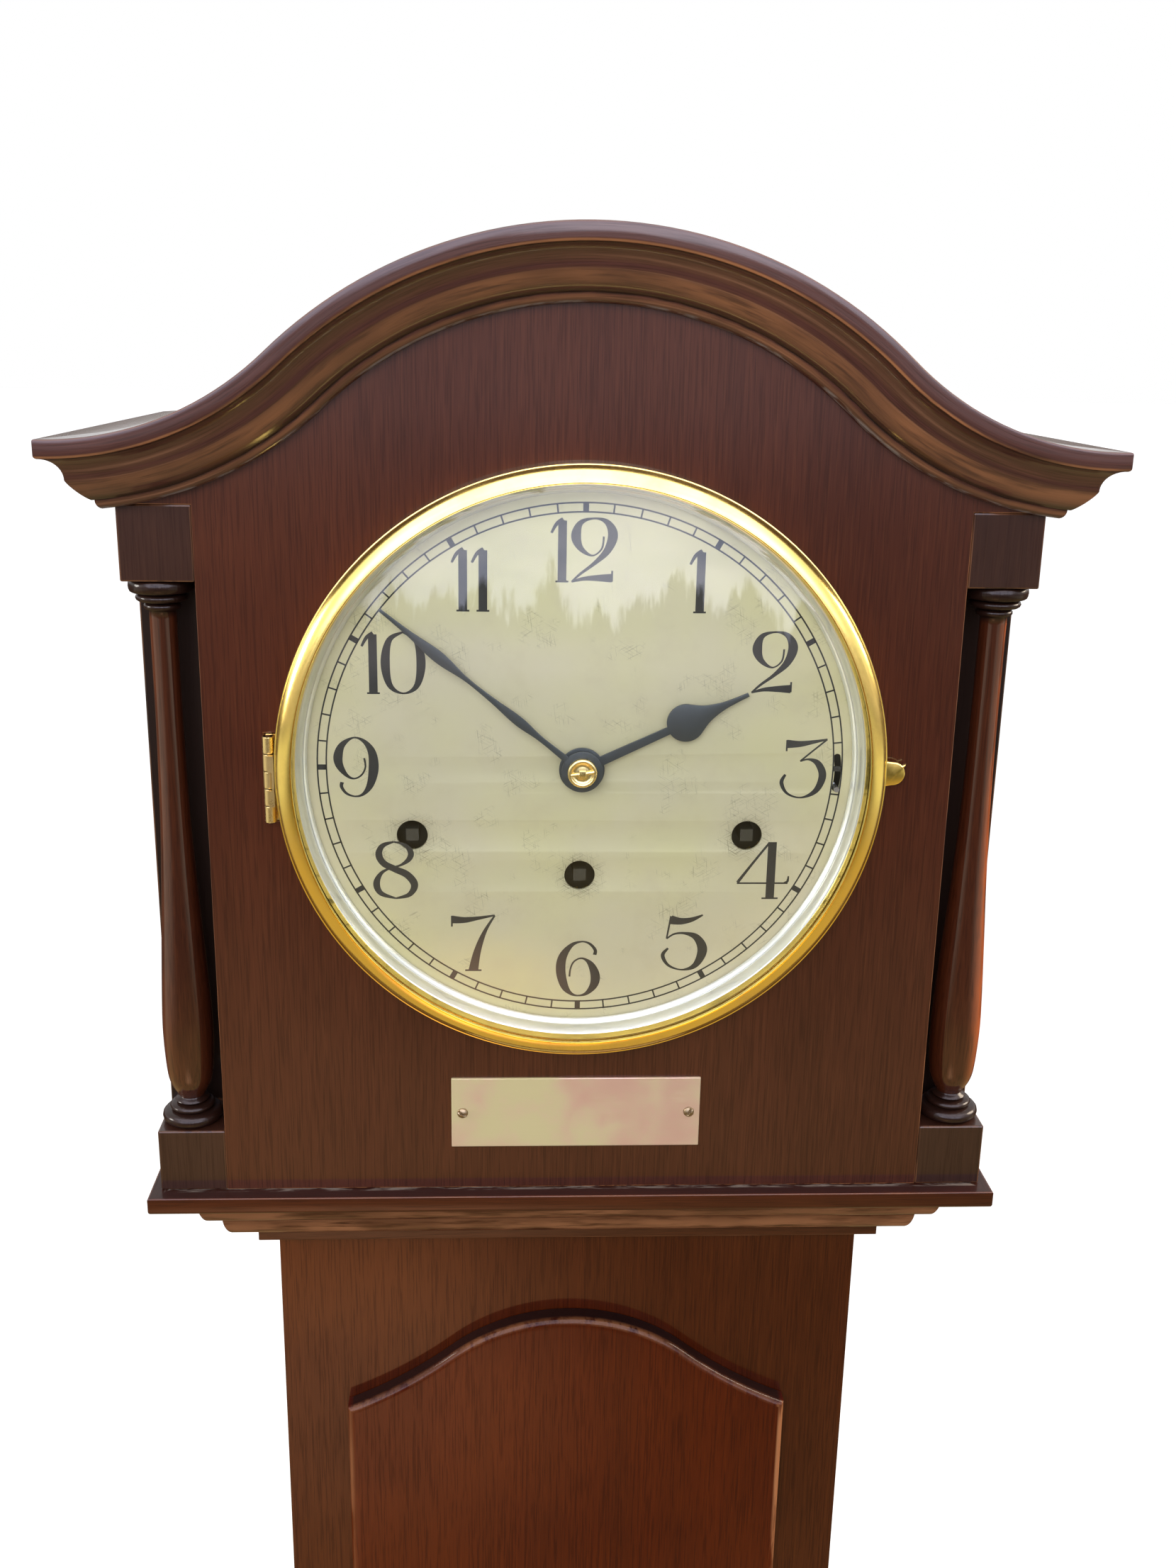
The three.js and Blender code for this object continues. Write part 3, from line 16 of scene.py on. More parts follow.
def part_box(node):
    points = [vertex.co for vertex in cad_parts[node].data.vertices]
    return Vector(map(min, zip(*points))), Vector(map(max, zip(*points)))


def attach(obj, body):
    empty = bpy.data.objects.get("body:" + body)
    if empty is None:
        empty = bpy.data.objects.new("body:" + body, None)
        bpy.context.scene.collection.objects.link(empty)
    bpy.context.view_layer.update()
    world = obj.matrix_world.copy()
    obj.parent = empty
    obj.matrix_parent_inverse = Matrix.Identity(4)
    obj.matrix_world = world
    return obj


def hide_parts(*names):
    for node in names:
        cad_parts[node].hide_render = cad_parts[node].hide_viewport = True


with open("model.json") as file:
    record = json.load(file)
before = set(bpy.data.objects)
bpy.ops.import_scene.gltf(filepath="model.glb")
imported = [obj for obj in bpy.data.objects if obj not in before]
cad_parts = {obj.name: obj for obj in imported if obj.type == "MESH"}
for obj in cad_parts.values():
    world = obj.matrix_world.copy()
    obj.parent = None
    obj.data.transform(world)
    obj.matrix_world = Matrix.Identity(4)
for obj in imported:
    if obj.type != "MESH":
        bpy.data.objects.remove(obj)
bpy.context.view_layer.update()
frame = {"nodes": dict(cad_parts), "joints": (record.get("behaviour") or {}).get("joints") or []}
MM = 0.001

# %% [markdown]
# Places come from the solids, so that every dressed piece lies where its solid lies. The dial's
# centre is the natural origin for the hood, and the hood's ledge is the one for the trunk.

# %% Places
dial_low, dial_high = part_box("dial_plate")
board_low, board_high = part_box("front_board")
trunk_low, trunk_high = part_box("trunk_front")
bezel_low, bezel_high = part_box("bezel")
DIAL = Vector(((dial_low.x + dial_high.x) / 2, dial_low.y, (bezel_low.z + bezel_high.z) / 2))
LEDGE_Z = board_low.z
BOARD_Y = board_low.y
TRUNK_Y = trunk_low.y
BACK_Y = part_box("backboard")[1].y
HOOD_HALF = board_high.x
TRUNK_HALF = trunk_high.x
print("dial centre", [round(value, 4) for value in DIAL], "ledge", round(LEDGE_Z, 4))

# %% [markdown]
# The photograph was taken close to the hood, from a little above the dial and looking down. The
# camera's place and angles were solved from the dial's circles and the mouldings' corners.

# %% Camera
PICTURE_WIDTH = 1659
PICTURE_HEIGHT = 2212
PICTURE_CENTRE = (799.9, 1100.3)
FOCAL_PIXELS = 2130
CAMERA_FROM_DIAL = Vector((-28.1, -525.0, 149.0)) * MM
PITCH, YAW, ROLL = (math.radians(angle) for angle in (16.29, 2.50, 0.87))

camera_data = bpy.data.cameras.new("camera")
camera = bpy.data.objects.new("camera", camera_data)
bpy.context.scene.collection.objects.link(camera)
camera_data.sensor_fit = "VERTICAL"
camera_data.lens = camera_data.sensor_height * FOCAL_PIXELS / PICTURE_HEIGHT
camera_data.shift_x = (PICTURE_WIDTH / 2 - PICTURE_CENTRE[0]) / PICTURE_HEIGHT
camera_data.shift_y = (PICTURE_CENTRE[1] - PICTURE_HEIGHT / 2) / PICTURE_HEIGHT
camera_data.clip_start = 0.01
turn = Matrix.Rotation(-YAW, 4, "Z") @ Matrix.Rotation(math.pi / 2 - PITCH, 4, "X")
camera.matrix_world = Matrix.Translation(DIAL + CAMERA_FROM_DIAL) @ turn @ Matrix.Rotation(ROLL, 4, "Z")
bpy.context.scene.camera = camera
print("camera", [round(value, 3) for value in camera.location], "lens", round(camera_data.lens, 1))

# %% [markdown]
# Shader maths reads best as plain arithmetic. `Wire` wraps one socket, and each operator on it adds
# a Math node. `Board` is a shader tree that wires are soldered on, with one method that adds any other
# node, and `Finish` is a material under construction on such a board.

# %% Shader helpers
class Wire:
    """One value on its way between nodes. Arithmetic on it adds Math nodes."""

    def __init__(self, board, socket):
        self.board = board
        self.socket = socket

    def math(self, operation, first, second=0.0):
        return self.board.node("ShaderNodeMath", {"operation": operation}, {0: first, 1: second})

    def __add__(self, other):
        return self.math("ADD", self, other)

    def __radd__(self, other):
        return self.math("ADD", other, self)

    def __sub__(self, other):
        return self.math("SUBTRACT", self, other)

    def __rsub__(self, other):
        return self.math("SUBTRACT", other, self)

    def __mul__(self, other):
        return self.math("MULTIPLY", self, other)

    def __rmul__(self, other):
        return self.math("MULTIPLY", other, self)

    def above(self, edge, width):
        """0 below the edge and 1 past it, with a soft step of that width."""
        ranges = {1: edge - width / 2, 2: edge + width / 2, 3: 0.0, 4: 1.0}
        settings = {"interpolation_type": "SMOOTHSTEP"}
        return self.board.node("ShaderNodeMapRange", settings, {0: self, **ranges})

    def larger(self, other):
        return self.math("MAXIMUM", self, other)


class Board:
    """A shader tree, with the few nodes that every finish on this clock needs."""

    def __init__(self, tree):
        self.tree = tree

    def node(self, kind, settings=None, sockets=None, out=0):
        node = self.tree.nodes.new(kind)
        for key, value in (settings or {}).items():
            setattr(node, key, value)
        for key, value in (sockets or {}).items():
            self.plug(node.inputs[key], value)
        return Wire(self, node.outputs[out])

    def plug(self, socket, value):
        if isinstance(value, Wire):
            self.tree.links.new(value.socket, socket)
        elif socket.type == "RGBA" and len(value) == 3:
            socket.default_value = (*value, 1.0)
        else:
            socket.default_value = value

    def coordinates(self, scale, centre=(0, 0, 0)):
        place = self.node("ShaderNodeTexCoord", out="Object")
        return self.scaled(place, scale, centre)

    def scaled(self, place, scale, centre=(0, 0, 0)):
        shift = tuple(-c * s for c, s in zip(centre, scale))
        return self.node("ShaderNodeMapping", None, {"Vector": place, "Location": shift, "Scale": scale})

    def noise(self, place, detail=2.0, roughness=0.5, scale=1.0):
        sockets = {"Vector": place, "Scale": scale, "Detail": detail, "Roughness": roughness}
        return self.node("ShaderNodeTexNoise", {"noise_dimensions": "3D"}, sockets)

    def mix(self, factor, first, second):
        sockets = {0: factor, 6: first, 7: second}
        return self.node("ShaderNodeMix", {"data_type": "RGBA"}, sockets, out=2)

    def attribute(self, name):
        return self.node("ShaderNodeAttribute", {"attribute_name": name}, out="Fac")

    def bump(self, height, strength, distance):
        sockets = {"Height": height, "Strength": strength, "Distance": distance}
        return self.node("ShaderNodeBump", None, sockets)


class Finish(Board):
    """A material whose shader is a Principled BSDF with fixed values, driven where it varies."""

    def __init__(self, name, **fixed):
        self.material = bpy.data.materials.new(name)
        self.material.use_nodes = True
        super().__init__(self.material.node_tree)
        self.shader = self.tree.nodes["Principled BSDF"]
        self.drive(**fixed)

    def drive(self, **sockets):
        for name, value in sockets.items():
            self.plug(self.shader.inputs[name.replace("_", " ")], value)

    def show(self, surface):
        """Puts another shader in the place of the Principled BSDF."""
        self.plug(self.tree.nodes["Material Output"].inputs["Surface"], surface)


print("shader helpers ready")

# %% [markdown]
# Mahogany is red-brown with a faint ribbon figure along the grain. What the eye reads as mahogany is
# finer: thousands of short dark pores, with paler rays between them. French polish lies over it like a
# thin clear coat. Handling wears the polish off the arrises, where the wood turns orange, and the same
# orange is also painted as a highlight on some edges and sides. Corners, recesses and ledge tops are
# painted dark as shade, and dust lies on the ledges. All three are painted from attributes on the
# mesh, so they follow the real edges. Shades are given for dark, middle and light wood of one log.

# %% Mahogany
SHADES = {
    "hood": ((0.047, 0.0100, 0.0044), (0.066, 0.0150, 0.0066), (0.106, 0.0290, 0.0115)),
    "block": ((0.022, 0.0080, 0.0056), (0.040, 0.0140, 0.0090), (0.062, 0.0230, 0.0130)),
    # The moulding's shades are its wood tone, lifted brighter and towards blue-grey as a painted reflection
    # of the sky.
    "moulding": ((0.042, 0.0135, 0.0108), (0.078, 0.0250, 0.0190), (0.122, 0.0400, 0.0280)),
    "base": ((0.036, 0.0046, 0.0012), (0.058, 0.0080, 0.0020), (0.098, 0.0200, 0.0055)),
    "trunk": ((0.047, 0.0062, 0.0009), (0.062, 0.0088, 0.0015), (0.110, 0.0220, 0.0038)),
    "door": ((0.054, 0.0038, 0.0002), (0.076, 0.0062, 0.0003), (0.126, 0.0160, 0.0008)),
    "column": ((0.030, 0.0066, 0.0030), (0.060, 0.0130, 0.0046), (0.100, 0.0250, 0.0085)),
}
PORE_DARK = (0.015, 0.0042, 0.0024)
# The orange is worn wood and also a painted highlight, the red is a painted highlight for the columns, and
# the near black is painted shade.
WORN_AND_SHEEN_ORANGE = (0.35, 0.145, 0.062)
PAINTED_HIGHLIGHT_RED = (0.36, 0.085, 0.022)
PAINTED_SHADE_DARK = (0.0095, 0.0062, 0.0055)
DUST = (0.21, 0.175, 0.155)
WARM_SHEEN = (1.0, 0.94, 0.88)
RIBBON_SCALE = 55.0
PORE_SCALE = 1900.0
RAY_SCALE = 1100.0
WEAR_SCALE = 260.0
TONE_SCALE = 7.0
PATCH_SCALE = 22.0


def mahogany(name, along, shades, gloss=0.9, haze=0.3, cloud=0.5, worn_and_sheen_colour=WORN_AND_SHEEN_ORANGE):
    """Polished mahogany with its grain along one axis, or along the U of the mesh's UV map."""
    finish = Finish(name, Specular_IOR_Level=haze, Specular_Tint=WARM_SHEEN, Coat_Roughness=0.1)
    dark, middle, light = SHADES[shades]
    if along == "U":
        place = finish.node("ShaderNodeTexCoord", out="UV")
        axis = 0
    else:
        place = finish.node("ShaderNodeTexCoord", out="Object")
        axis = "XYZ".index(along)

    def streaks(scale, shortening, detail=2.0):
        sizes = [scale, scale, scale]
        sizes[axis] = scale * shortening
        return finish.noise(finish.scaled(place, tuple(sizes)), detail=detail, roughness=0.6)

    ribbon = streaks(RIBBON_SCALE, 0.05, detail=4.0)
    pores = streaks(PORE_SCALE, 0.025).above(0.56, 0.16)
    rays = streaks(RAY_SCALE, 0.03).above(0.58, 0.2)
    slow = finish.noise(finish.scaled(place, (TONE_SCALE,) * 3), detail=3.0)
    patches = finish.noise(finish.scaled(place, (PATCH_SCALE,) * 3), detail=2.0).above(0.5, 0.3)
    sheen_and_wear_share = streaks(WEAR_SCALE, 0.12, detail=3.0).above(0.44, 0.26)
    # One attribute carries worn arrises together with painted highlights, and another carries painted shade
    # in corners, recesses and on ledge tops.
    wear = finish.attribute("wear") * sheen_and_wear_share * (0.4 + 0.75 * patches)
    dust = finish.attribute("dust") * streaks(WEAR_SCALE, 0.3, detail=4.0).above(0.53, 0.16)
    grime = finish.attribute("grime")
    stripe = finish.mix(ribbon.above(0.5, 0.6), dark, middle)
    toned = finish.mix(slow.above(0.55, 0.5) * cloud, stripe, light)
    rayed = finish.mix(rays * 0.28, toned, light)
    pored = finish.mix(pores * 0.4, rayed, PORE_DARK)
    # Painted shade darkens the wood here.
    shaded = finish.mix(grime, pored, PAINTED_SHADE_DARK)
    worn_and_sheen = finish.mix(wear, shaded, worn_and_sheen_colour)
    polish = gloss * (0.75 + 0.5 * slow) * (1.0 - 0.7 * wear.larger(grime)) * (1.0 - dust)
    finish.drive(
        Base_Color=finish.mix(dust, worn_and_sheen, DUST),
        Roughness=0.33 + 0.16 * slow + 0.14 * wear + 0.4 * dust,
        Coat_Weight=polish - 0.15 * pores,
        Normal=finish.bump(1.0 - pores, 0.16, 0.0001),
    )
    return finish.material


mahogany_board = mahogany("mahogany_board", "Z", "hood", gloss=0.75, haze=0.14)
mahogany_block = mahogany("mahogany_block", "Z", "block", gloss=0.7, haze=0.15)
mahogany_plinth = mahogany("mahogany_plinth", "X", "trunk", gloss=0.6, haze=0.08)
mahogany_roof = mahogany("mahogany_roof", "Y", "block")
mahogany_moulding = mahogany("mahogany_moulding", "U", "moulding", haze=0.2)
mahogany_base = mahogany("mahogany_base", "U", "base", gloss=0.6, haze=0.1)
mahogany_column = mahogany("mahogany_column", "Z", "column", gloss=1.0, haze=0.08, worn_and_sheen_colour=PAINTED_HIGHLIGHT_RED)
mahogany_trunk = mahogany("mahogany_trunk", "Z", "trunk", gloss=0.5, haze=0.05, cloud=0.8)
mahogany_door = mahogany("mahogany_door", "Z", "door", gloss=0.45, haze=0.03, cloud=0.9)
print("nine cuts of mahogany")

# %% [markdown]
# The backboard and the seat board are plain softwood, stained thin and never polished. Knots would
# be an invention here, so only growth lines and a dusty tone are drawn.

# %% Softwood
EARLY_WOOD = (0.20, 0.11, 0.05)
LATE_WOOD = (0.10, 0.05, 0.023)
STAIN = (0.07, 0.038, 0.02)
GROWTH_SCALE = 160.0
LENGTH_SCALE = 5.0


def softwood(name, along):
    finish = Finish(name, Specular_IOR_Level=0.2)
    sizes = [GROWTH_SCALE] * 3
    sizes["XYZ".index(along)] = LENGTH_SCALE
    lines = finish.noise(finish.coordinates(tuple(sizes)), detail=4.0)
    slow = finish.noise(finish.coordinates((LENGTH_SCALE,) * 3), detail=4.0)
    board = finish.mix(lines.above(0.5, 0.35), LATE_WOOD, EARLY_WOOD)
    finish.drive(
        Base_Color=finish.mix(slow.above(0.5, 0.6) * 0.5, board, STAIN),
        Roughness=0.62 + 0.2 * lines,
        Normal=finish.bump(lines, 0.25, 0.0003),
    )
    return finish.material


softwood_upright = softwood("softwood_upright", "Z")
softwood_across = softwood("softwood_across", "X")
print("two cuts of softwood")

# %% [markdown]
# Metals differ by how they were worked. The bezel is spun and polished, the plaque is brushed along
# its length, the movement is plain sheet, and the dial and sight ring are brass that was silvered.
# Each one gets tarnish from slow noise and fine lines from noise that is stretched along the work.

# %% Metals
def worked_metal(name, base, tarnish, rough, lines=(900, 900, 900), metallic=1.0, spots=0.5, grain=0.1,
                 relief=0.12, patch=38.0, edge=0.58):
    """Metal with brushing lines at the given scales, and slow tarnish that also roughens it."""
    finish = Finish(name)
    brushed = finish.noise(finish.coordinates(lines), detail=3.0)
    slow = finish.noise(finish.coordinates((patch, patch, patch)), detail=5.0, roughness=0.6)
    mask = slow.above(edge, 0.35) * spots
    finish.drive(
        Base_Color=finish.mix(mask, base, tarnish),
        Metallic=metallic - 0.25 * mask,
        Roughness=rough + 0.22 * mask + grain * (brushed - 0.5),
        Normal=finish.bump(brushed, relief, 0.00005),
    )
    return finish.material


polished_brass = worked_metal(
    "polished_brass", (0.92, 0.7, 0.2), (0.6, 0.36, 0.09), 0.17, spots=0.4, relief=0.04)
worn_brass = worked_metal("worn_brass", (0.8, 0.63, 0.3), (0.4, 0.26, 0.1), 0.26, relief=0.06)
brushed_brass = worked_metal(
    "brushed_brass", (0.68, 0.46, 0.38), (0.6, 0.53, 0.29), 0.34, lines=(40, 900, 2600), metallic=0.45,
    spots=1.0, grain=0.25, patch=30.0, edge=0.5)
sheet_brass = worked_metal("sheet_brass", (0.68, 0.48, 0.19), (0.3, 0.2, 0.09), 0.33, lines=(2200, 900, 60))
bright_steel = worked_metal("bright_steel", (0.5, 0.5, 0.52), (0.2, 0.17, 0.15), 0.28)
dark_steel = worked_metal("dark_steel", (0.08, 0.078, 0.066), (0.04, 0.036, 0.03), 0.35, metallic=0.6)
blued_steel = worked_metal("blued_steel", (0.07, 0.078, 0.086), (0.045, 0.042, 0.042), 0.34, metallic=0.3)
dull_brass = worked_metal("dull_brass", (0.3, 0.23, 0.14), (0.1, 0.075, 0.05), 0.38)
iron = worked_metal("iron", (0.1, 0.092, 0.085), (0.05, 0.035, 0.025), 0.5, metallic=0.8)
silvered_ring = worked_metal(
    "silvered_ring", (0.86, 0.87, 0.84), (0.62, 0.56, 0.4), 0.22, metallic=0.7, spots=0.25, grain=0.0,
    relief=0.0)
dial_ink = worked_metal(
    "dial_ink", (0.01, 0.0098, 0.008), (0.026, 0.024, 0.019), 0.55, metallic=0.0, spots=0.8)
print("ten metals and an ink")

# %% [markdown]
# The dial is silvered and then lacquered. The silver is brushed, has yellowed unevenly, and carries
# fine scratches, most of them round the winding holes where the key slipped. The scratches are thin
# lines of stretched noise, let through only where another noise and the distance to a hole allow.

# %% Dial finish
WINDING_SIDE = Vector((61.4, 0, -25.8)) * MM
WINDING_CENTRE = Vector((0, 0, -41.3)) * MM
WINDING_HOLES = [
    DIAL + Vector((-WINDING_SIDE.x, 0, WINDING_SIDE.z)),
    DIAL + WINDING_CENTRE,
    DIAL + WINDING_SIDE,
]
WINDING_RADIUS = 5.65 * MM
SILVER = (0.68, 0.61, 0.445)
YELLOWED = (0.69, 0.635, 0.375)
AGED = (0.6, 0.53, 0.36)
SCRATCH = (0.12, 0.1, 0.07)
KEY_STAIN = (0.2, 0.17, 0.12)
SCRATCH_ANGLES = (0.5, 1.7, 2.6)


def silvered_dial():
    finish = Finish("silvered_dial", Specular_IOR_Level=0.4)
    place = finish.node("ShaderNodeTexCoord", out="Object")
    near = None
    for hole in WINDING_HOLES:
        sockets = {0: place, 1: tuple(hole)}
        distance = finish.node("ShaderNodeVectorMath", {"operation": "DISTANCE"}, sockets, out="Value")
        close = 1.0 - distance.above(WINDING_RADIUS * 1.5, WINDING_RADIUS * 1.4)
        near = close if near is None else near + close
    brushing = finish.noise(finish.scaled(place, (60.0, 60.0, 2400.0)), detail=3.0)
    yellowing = finish.noise(finish.scaled(place, (16.0,) * 3), detail=4.0)
    cloud = finish.noise(finish.scaled(place, (55.0,) * 3), detail=5.0, roughness=0.65)
    scratches = None
    for angle in SCRATCH_ANGLES:
        turned = finish.node(
            "ShaderNodeVectorRotate", {"rotation_type": "Y_AXIS"}, {"Vector": place, "Angle": angle})
        lines = finish.noise(finish.scaled(turned, (130.0, 900.0, 4200.0)), detail=1.0)
        thin = lines.above(0.66, 0.05)
        scratches = thin if scratches is None else scratches + thin
    gate = finish.noise(finish.scaled(place, (90.0,) * 3)).above(0.6, 0.1)
    marks = scratches * (0.45 * gate + 0.9 * near)
    plain = finish.mix(yellowing.above(0.5, 0.4), SILVER, YELLOWED)
    aged = finish.mix(cloud.above(0.6, 0.3) * 0.45, plain, AGED)
    marked = finish.mix(marks * 0.75, aged, SCRATCH)
    finish.drive(
        Base_Color=finish.mix(near * near * 0.25, marked, KEY_STAIN),
        Metallic=0.06 + 0.1 * cloud,
        Roughness=0.42 + 0.16 * brushing,
        Normal=finish.bump(brushing - 0.6 * marks, 0.1, 0.00006),
    )
    return finish.material


dial_finish = silvered_dial()
print("silvered dial, with", len(WINDING_HOLES), "worn holes")

# %% [markdown]
# Glass shows itself only by what it reflects. A Fresnel factor mixes a mirror over a clear shader, so
# light still reaches the dial, which a refracting glass would keep dark. Light on its way out of the
# glass is let through whole, because a straight ray there would wrongly be thrown back.

# %% Glass
GLASS_IOR = 1.5
GLASS_TINT = (0.97, 0.985, 0.98)


def clear_glass():
    finish = Finish("clear_glass")
    fresnel = finish.node("ShaderNodeFresnel", None, {"IOR": GLASS_IOR})
    inside = finish.node("ShaderNodeNewGeometry", out="Backfacing")
    clear = finish.node("ShaderNodeBsdfTransparent", None, {"Color": GLASS_TINT})
    mirror = finish.node("ShaderNodeBsdfGlossy", None, {"Color": (1.0, 1.0, 1.0), "Roughness": 0.01})
    sockets = {0: fresnel * (1.0 - inside), 1: clear, 2: mirror}
    finish.show(finish.node("ShaderNodeMixShader", None, sockets))
    finish.tree.nodes.remove(finish.shader)
    return finish.material


glass = clear_glass()
print("clear glass")

# %% [markdown]
# Four of these helpers make nearly every shape. `skin` stretches a surface over rings of points,
# `turned` spins a profile as a lathe does, `sheet` cuts a flat plate with holes, and `softened` takes
# a solid from the frame and rounds its arrises a little, as a plane and sandpaper would. Each kind of
# work has its own angle, in degrees, above which an edge is shaded as sharp.

# %% Shape helpers
FLAT_ANGLE, ROUND_ANGLE, MOULDING_ANGLE, SHEET_ANGLE, SPUN_ANGLE, TURNED_ANGLE = 1, 18, 28, 35, 40, 50
ARRIS_ANGLE = 40


def arc(centre_x, centre_y, radius_x, radius_y, start, end, steps):
    """Points on an ellipse between two angles in degrees."""
    angles = [math.radians(start + (end - start) * i / steps) for i in range(steps + 1)]
    return [(centre_x + radius_x * math.cos(a), centre_y + radius_y * math.sin(a)) for a in angles]


def circle(radius, steps, x=0.0, z=0.0):
    return arc(x, z, radius, radius, 0, 360 - 360 / steps, steps - 1)


def eased(x, z, radius, start, steps):
    """A quarter round in place of an outer corner, from below it at -90 degrees or from beside it at 0."""
    centre_z = z + radius if start < 0 else z - radius
    return arc(x - radius, centre_z, radius, radius, start, start + 90, steps)


def bands(rows, count, closed=False):
    """Faces between rows of equally many points, and back to the first row if it is closed."""
    faces = []
    for row in range(rows if closed else rows - 1):
        first, second = row * count, (row + 1) % rows * count
        for i in range(count):
            j = (i + 1) % count
            faces.append((first + i, first + j, second + j, second + i))
    return faces


def mesh_object(name, vertices, faces):
    mesh = bpy.data.meshes.new(name)
    mesh.from_pydata([tuple(v) for v in vertices], [], faces)
    obj = bpy.data.objects.new(name, mesh)
    bpy.context.scene.collection.objects.link(obj)
    return obj


def tidy(obj, merge=1e-6):
    """Merges doubles and points every face outwards."""
    work = bmesh.new()
    work.from_mesh(obj.data)
    bmesh.ops.remove_doubles(work, verts=work.verts, dist=merge)
    bmesh.ops.dissolve_degenerate(work, edges=work.edges, dist=merge)
    bmesh.ops.recalc_face_normals(work, faces=work.faces)
    work.to_mesh(obj.data)
    work.free()
    return obj


def plain(obj):
    """Turns an object with modifiers into one plain mesh object of the same name."""
    bpy.context.view_layer.update()
    graph = bpy.context.evaluated_depsgraph_get()
    mesh = bpy.data.meshes.new_from_object(obj.evaluated_get(graph))
    name = obj.name
    bpy.data.objects.remove(obj)
    result = bpy.data.objects.new(name, mesh)
    bpy.context.scene.collection.objects.link(result)
    return result


def dress(obj, material, body="case", nodes=(), sharp=SHEET_ANGLE):
    """Gives a piece its finish and its body, and hides the solids that it stands for."""
    obj.data.materials.clear()
    obj.data.materials.append(material)
    obj.data.shade_smooth()
    obj.data.set_sharp_from_angle(angle=math.radians(sharp))
    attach(obj, body)
    if nodes:
        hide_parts(*nodes)
    return obj


def finish_solid(node, material):
    """Gives a finish to a solid of the frame that is shown as it is."""
    frame["nodes"][node].data.materials.clear()
    frame["nodes"][node].data.materials.append(material)


def skin(name, rings):
    """A closed skin over rings of equally many points, with U along it and V round it, in metres."""
    count = len(rings[0])
    vertices = [point for ring in rings for point in ring]
    faces = bands(len(rings), count)
    for r in (0, len(rings) - 1):
        faces.append(tuple(r * count + i for i in range(count)))
    obj = mesh_object(name, vertices, faces)
    along = [0.0]
    for before, after in zip(rings, rings[1:]):
        along.append(along[-1] + sum((a - b).length for a, b in zip(before, after)) / count)
    around = [0.0]
    for before, after in zip(rings[0], rings[0][1:]):
        around.append(around[-1] + (Vector(after) - Vector(before)).length)
    layer = obj.data.uv_layers.new(name="grain")
    for loop in obj.data.loops:
        r, i = divmod(loop.vertex_index, count)
        layer.data[loop.index].uv = (along[r], around[i])
    return obj


def paint(obj, name, values):
    """Writes one number to each point as an attribute that the finishes can read."""
    layer = obj.data.attributes.new(name, "FLOAT", "POINT")
    layer.data.foreach_set("value", values)


def turned(name, profile, centre, axis, steps=96):
    """Spins a profile of radius and distance along the axis about a centre. Millimetres in."""
    vertices = []
    for radius, height in profile:
        for i in range(steps):
            angle = 2 * math.pi * i / steps
            across, up = radius * MM * math.cos(angle), radius * MM * math.sin(angle)
            if axis == "Z":
                vertices.append(centre + Vector((across, up, height * MM)))
            else:
                vertices.append(centre + Vector((across, height * MM, up)))
    return tidy(mesh_object(name, vertices, bands(len(profile), steps, closed=True)))


def sheet(name, outline, holes, front_y, thickness, rounding=0.0, origin=DIAL):
    """A flat plate in the XZ plane, cut from an outline with holes. Millimetres in."""
    curve = bpy.data.curves.new(name, "CURVE")
    curve.dimensions = "2D"
    curve.fill_mode = "BOTH"
    curve.extrude = (thickness / 2 - rounding) * MM
    curve.bevel_depth = rounding * MM
    curve.bevel_resolution = 2
    curve.offset = -rounding * MM
    for loop in [outline, *holes]:
        spline = curve.splines.new("POLY")
        spline.points.add(len(loop) - 1)
        spline.use_cyclic_u = True
        for point, (x, z) in zip(spline.points, loop):
            point.co = (x * MM, z * MM, 0.0, 1.0)
    obj = bpy.data.objects.new(name, curve)
    bpy.context.scene.collection.objects.link(obj)
    result = plain(obj)
    middle = front_y + thickness * MM / 2
    for vertex in result.data.vertices:
        x, z, depth = vertex.co
        vertex.co = (origin.x + x, middle + depth, origin.z + z)
    return tidy(result)


def softened(node, width, segments=2, worn_and_sheen=0.0):
    """A copy of a solid with its arrises rounded, and the rounded strips marked as worn."""
    source = frame["nodes"][node]
    obj = bpy.data.objects.new(node + "_dressed", source.data.copy())
    bpy.context.scene.collection.objects.link(obj)
    work = bmesh.new()
    work.from_mesh(obj.data)
    bmesh.ops.remove_doubles(work, verts=work.verts, dist=2e-6)
    flat = math.radians(FLAT_ANGLE)
    bmesh.ops.dissolve_limit(work, angle_limit=flat, verts=work.verts, edges=work.edges)
    work.to_mesh(obj.data)
    work.free()
    obj.data.materials.clear()
    for _ in range(2):
        obj.data.materials.append(None)
    bevel = obj.modifiers.new("arris", "BEVEL")
    bevel.width = width * MM
    bevel.segments = segments
    bevel.limit_method = "ANGLE"
    bevel.angle_limit = math.radians(ARRIS_ANGLE)
    bevel.material = 1
    bevel.use_clamp_overlap = True
    result = plain(obj)
    layer = result.data.attributes.new("wear", "FLOAT", "FACE")
    layer.data.foreach_set("value", [worn_and_sheen * face.material_index for face in result.data.polygons])
    for face in result.data.polygons:
        face.material_index = 0
    return result


print("shape helpers ready")

# %% [markdown]
# The cornice is a cyma: a hollow above, a swell below, a fascia on top and a bead against the board.
# It follows an ogee, a crown arc that turns over into two foot arcs. Parallel curves of the same
# arcs carry each point of the section, so the moulding keeps its shape all along and its ends are
# mitred at the hood's corners. The swell is flatter than a quarter round, as the outline of the ends
# shows. The lower arris of the fascia is worn to orange and also carries a painted highlight, and the
# swell carries a painted orange highlight. The quirk, the foot of the swell and the top of the hollow
# are painted dark as shade.

# %% Ogee and cornice
CROWN_STEPS = 48
FOOT_STEPS = 20
HOOD_ARCH = {"crown_radius": 130.0, "foot_radius": 131.0, "crown": 160.5, "foot": 91.0}


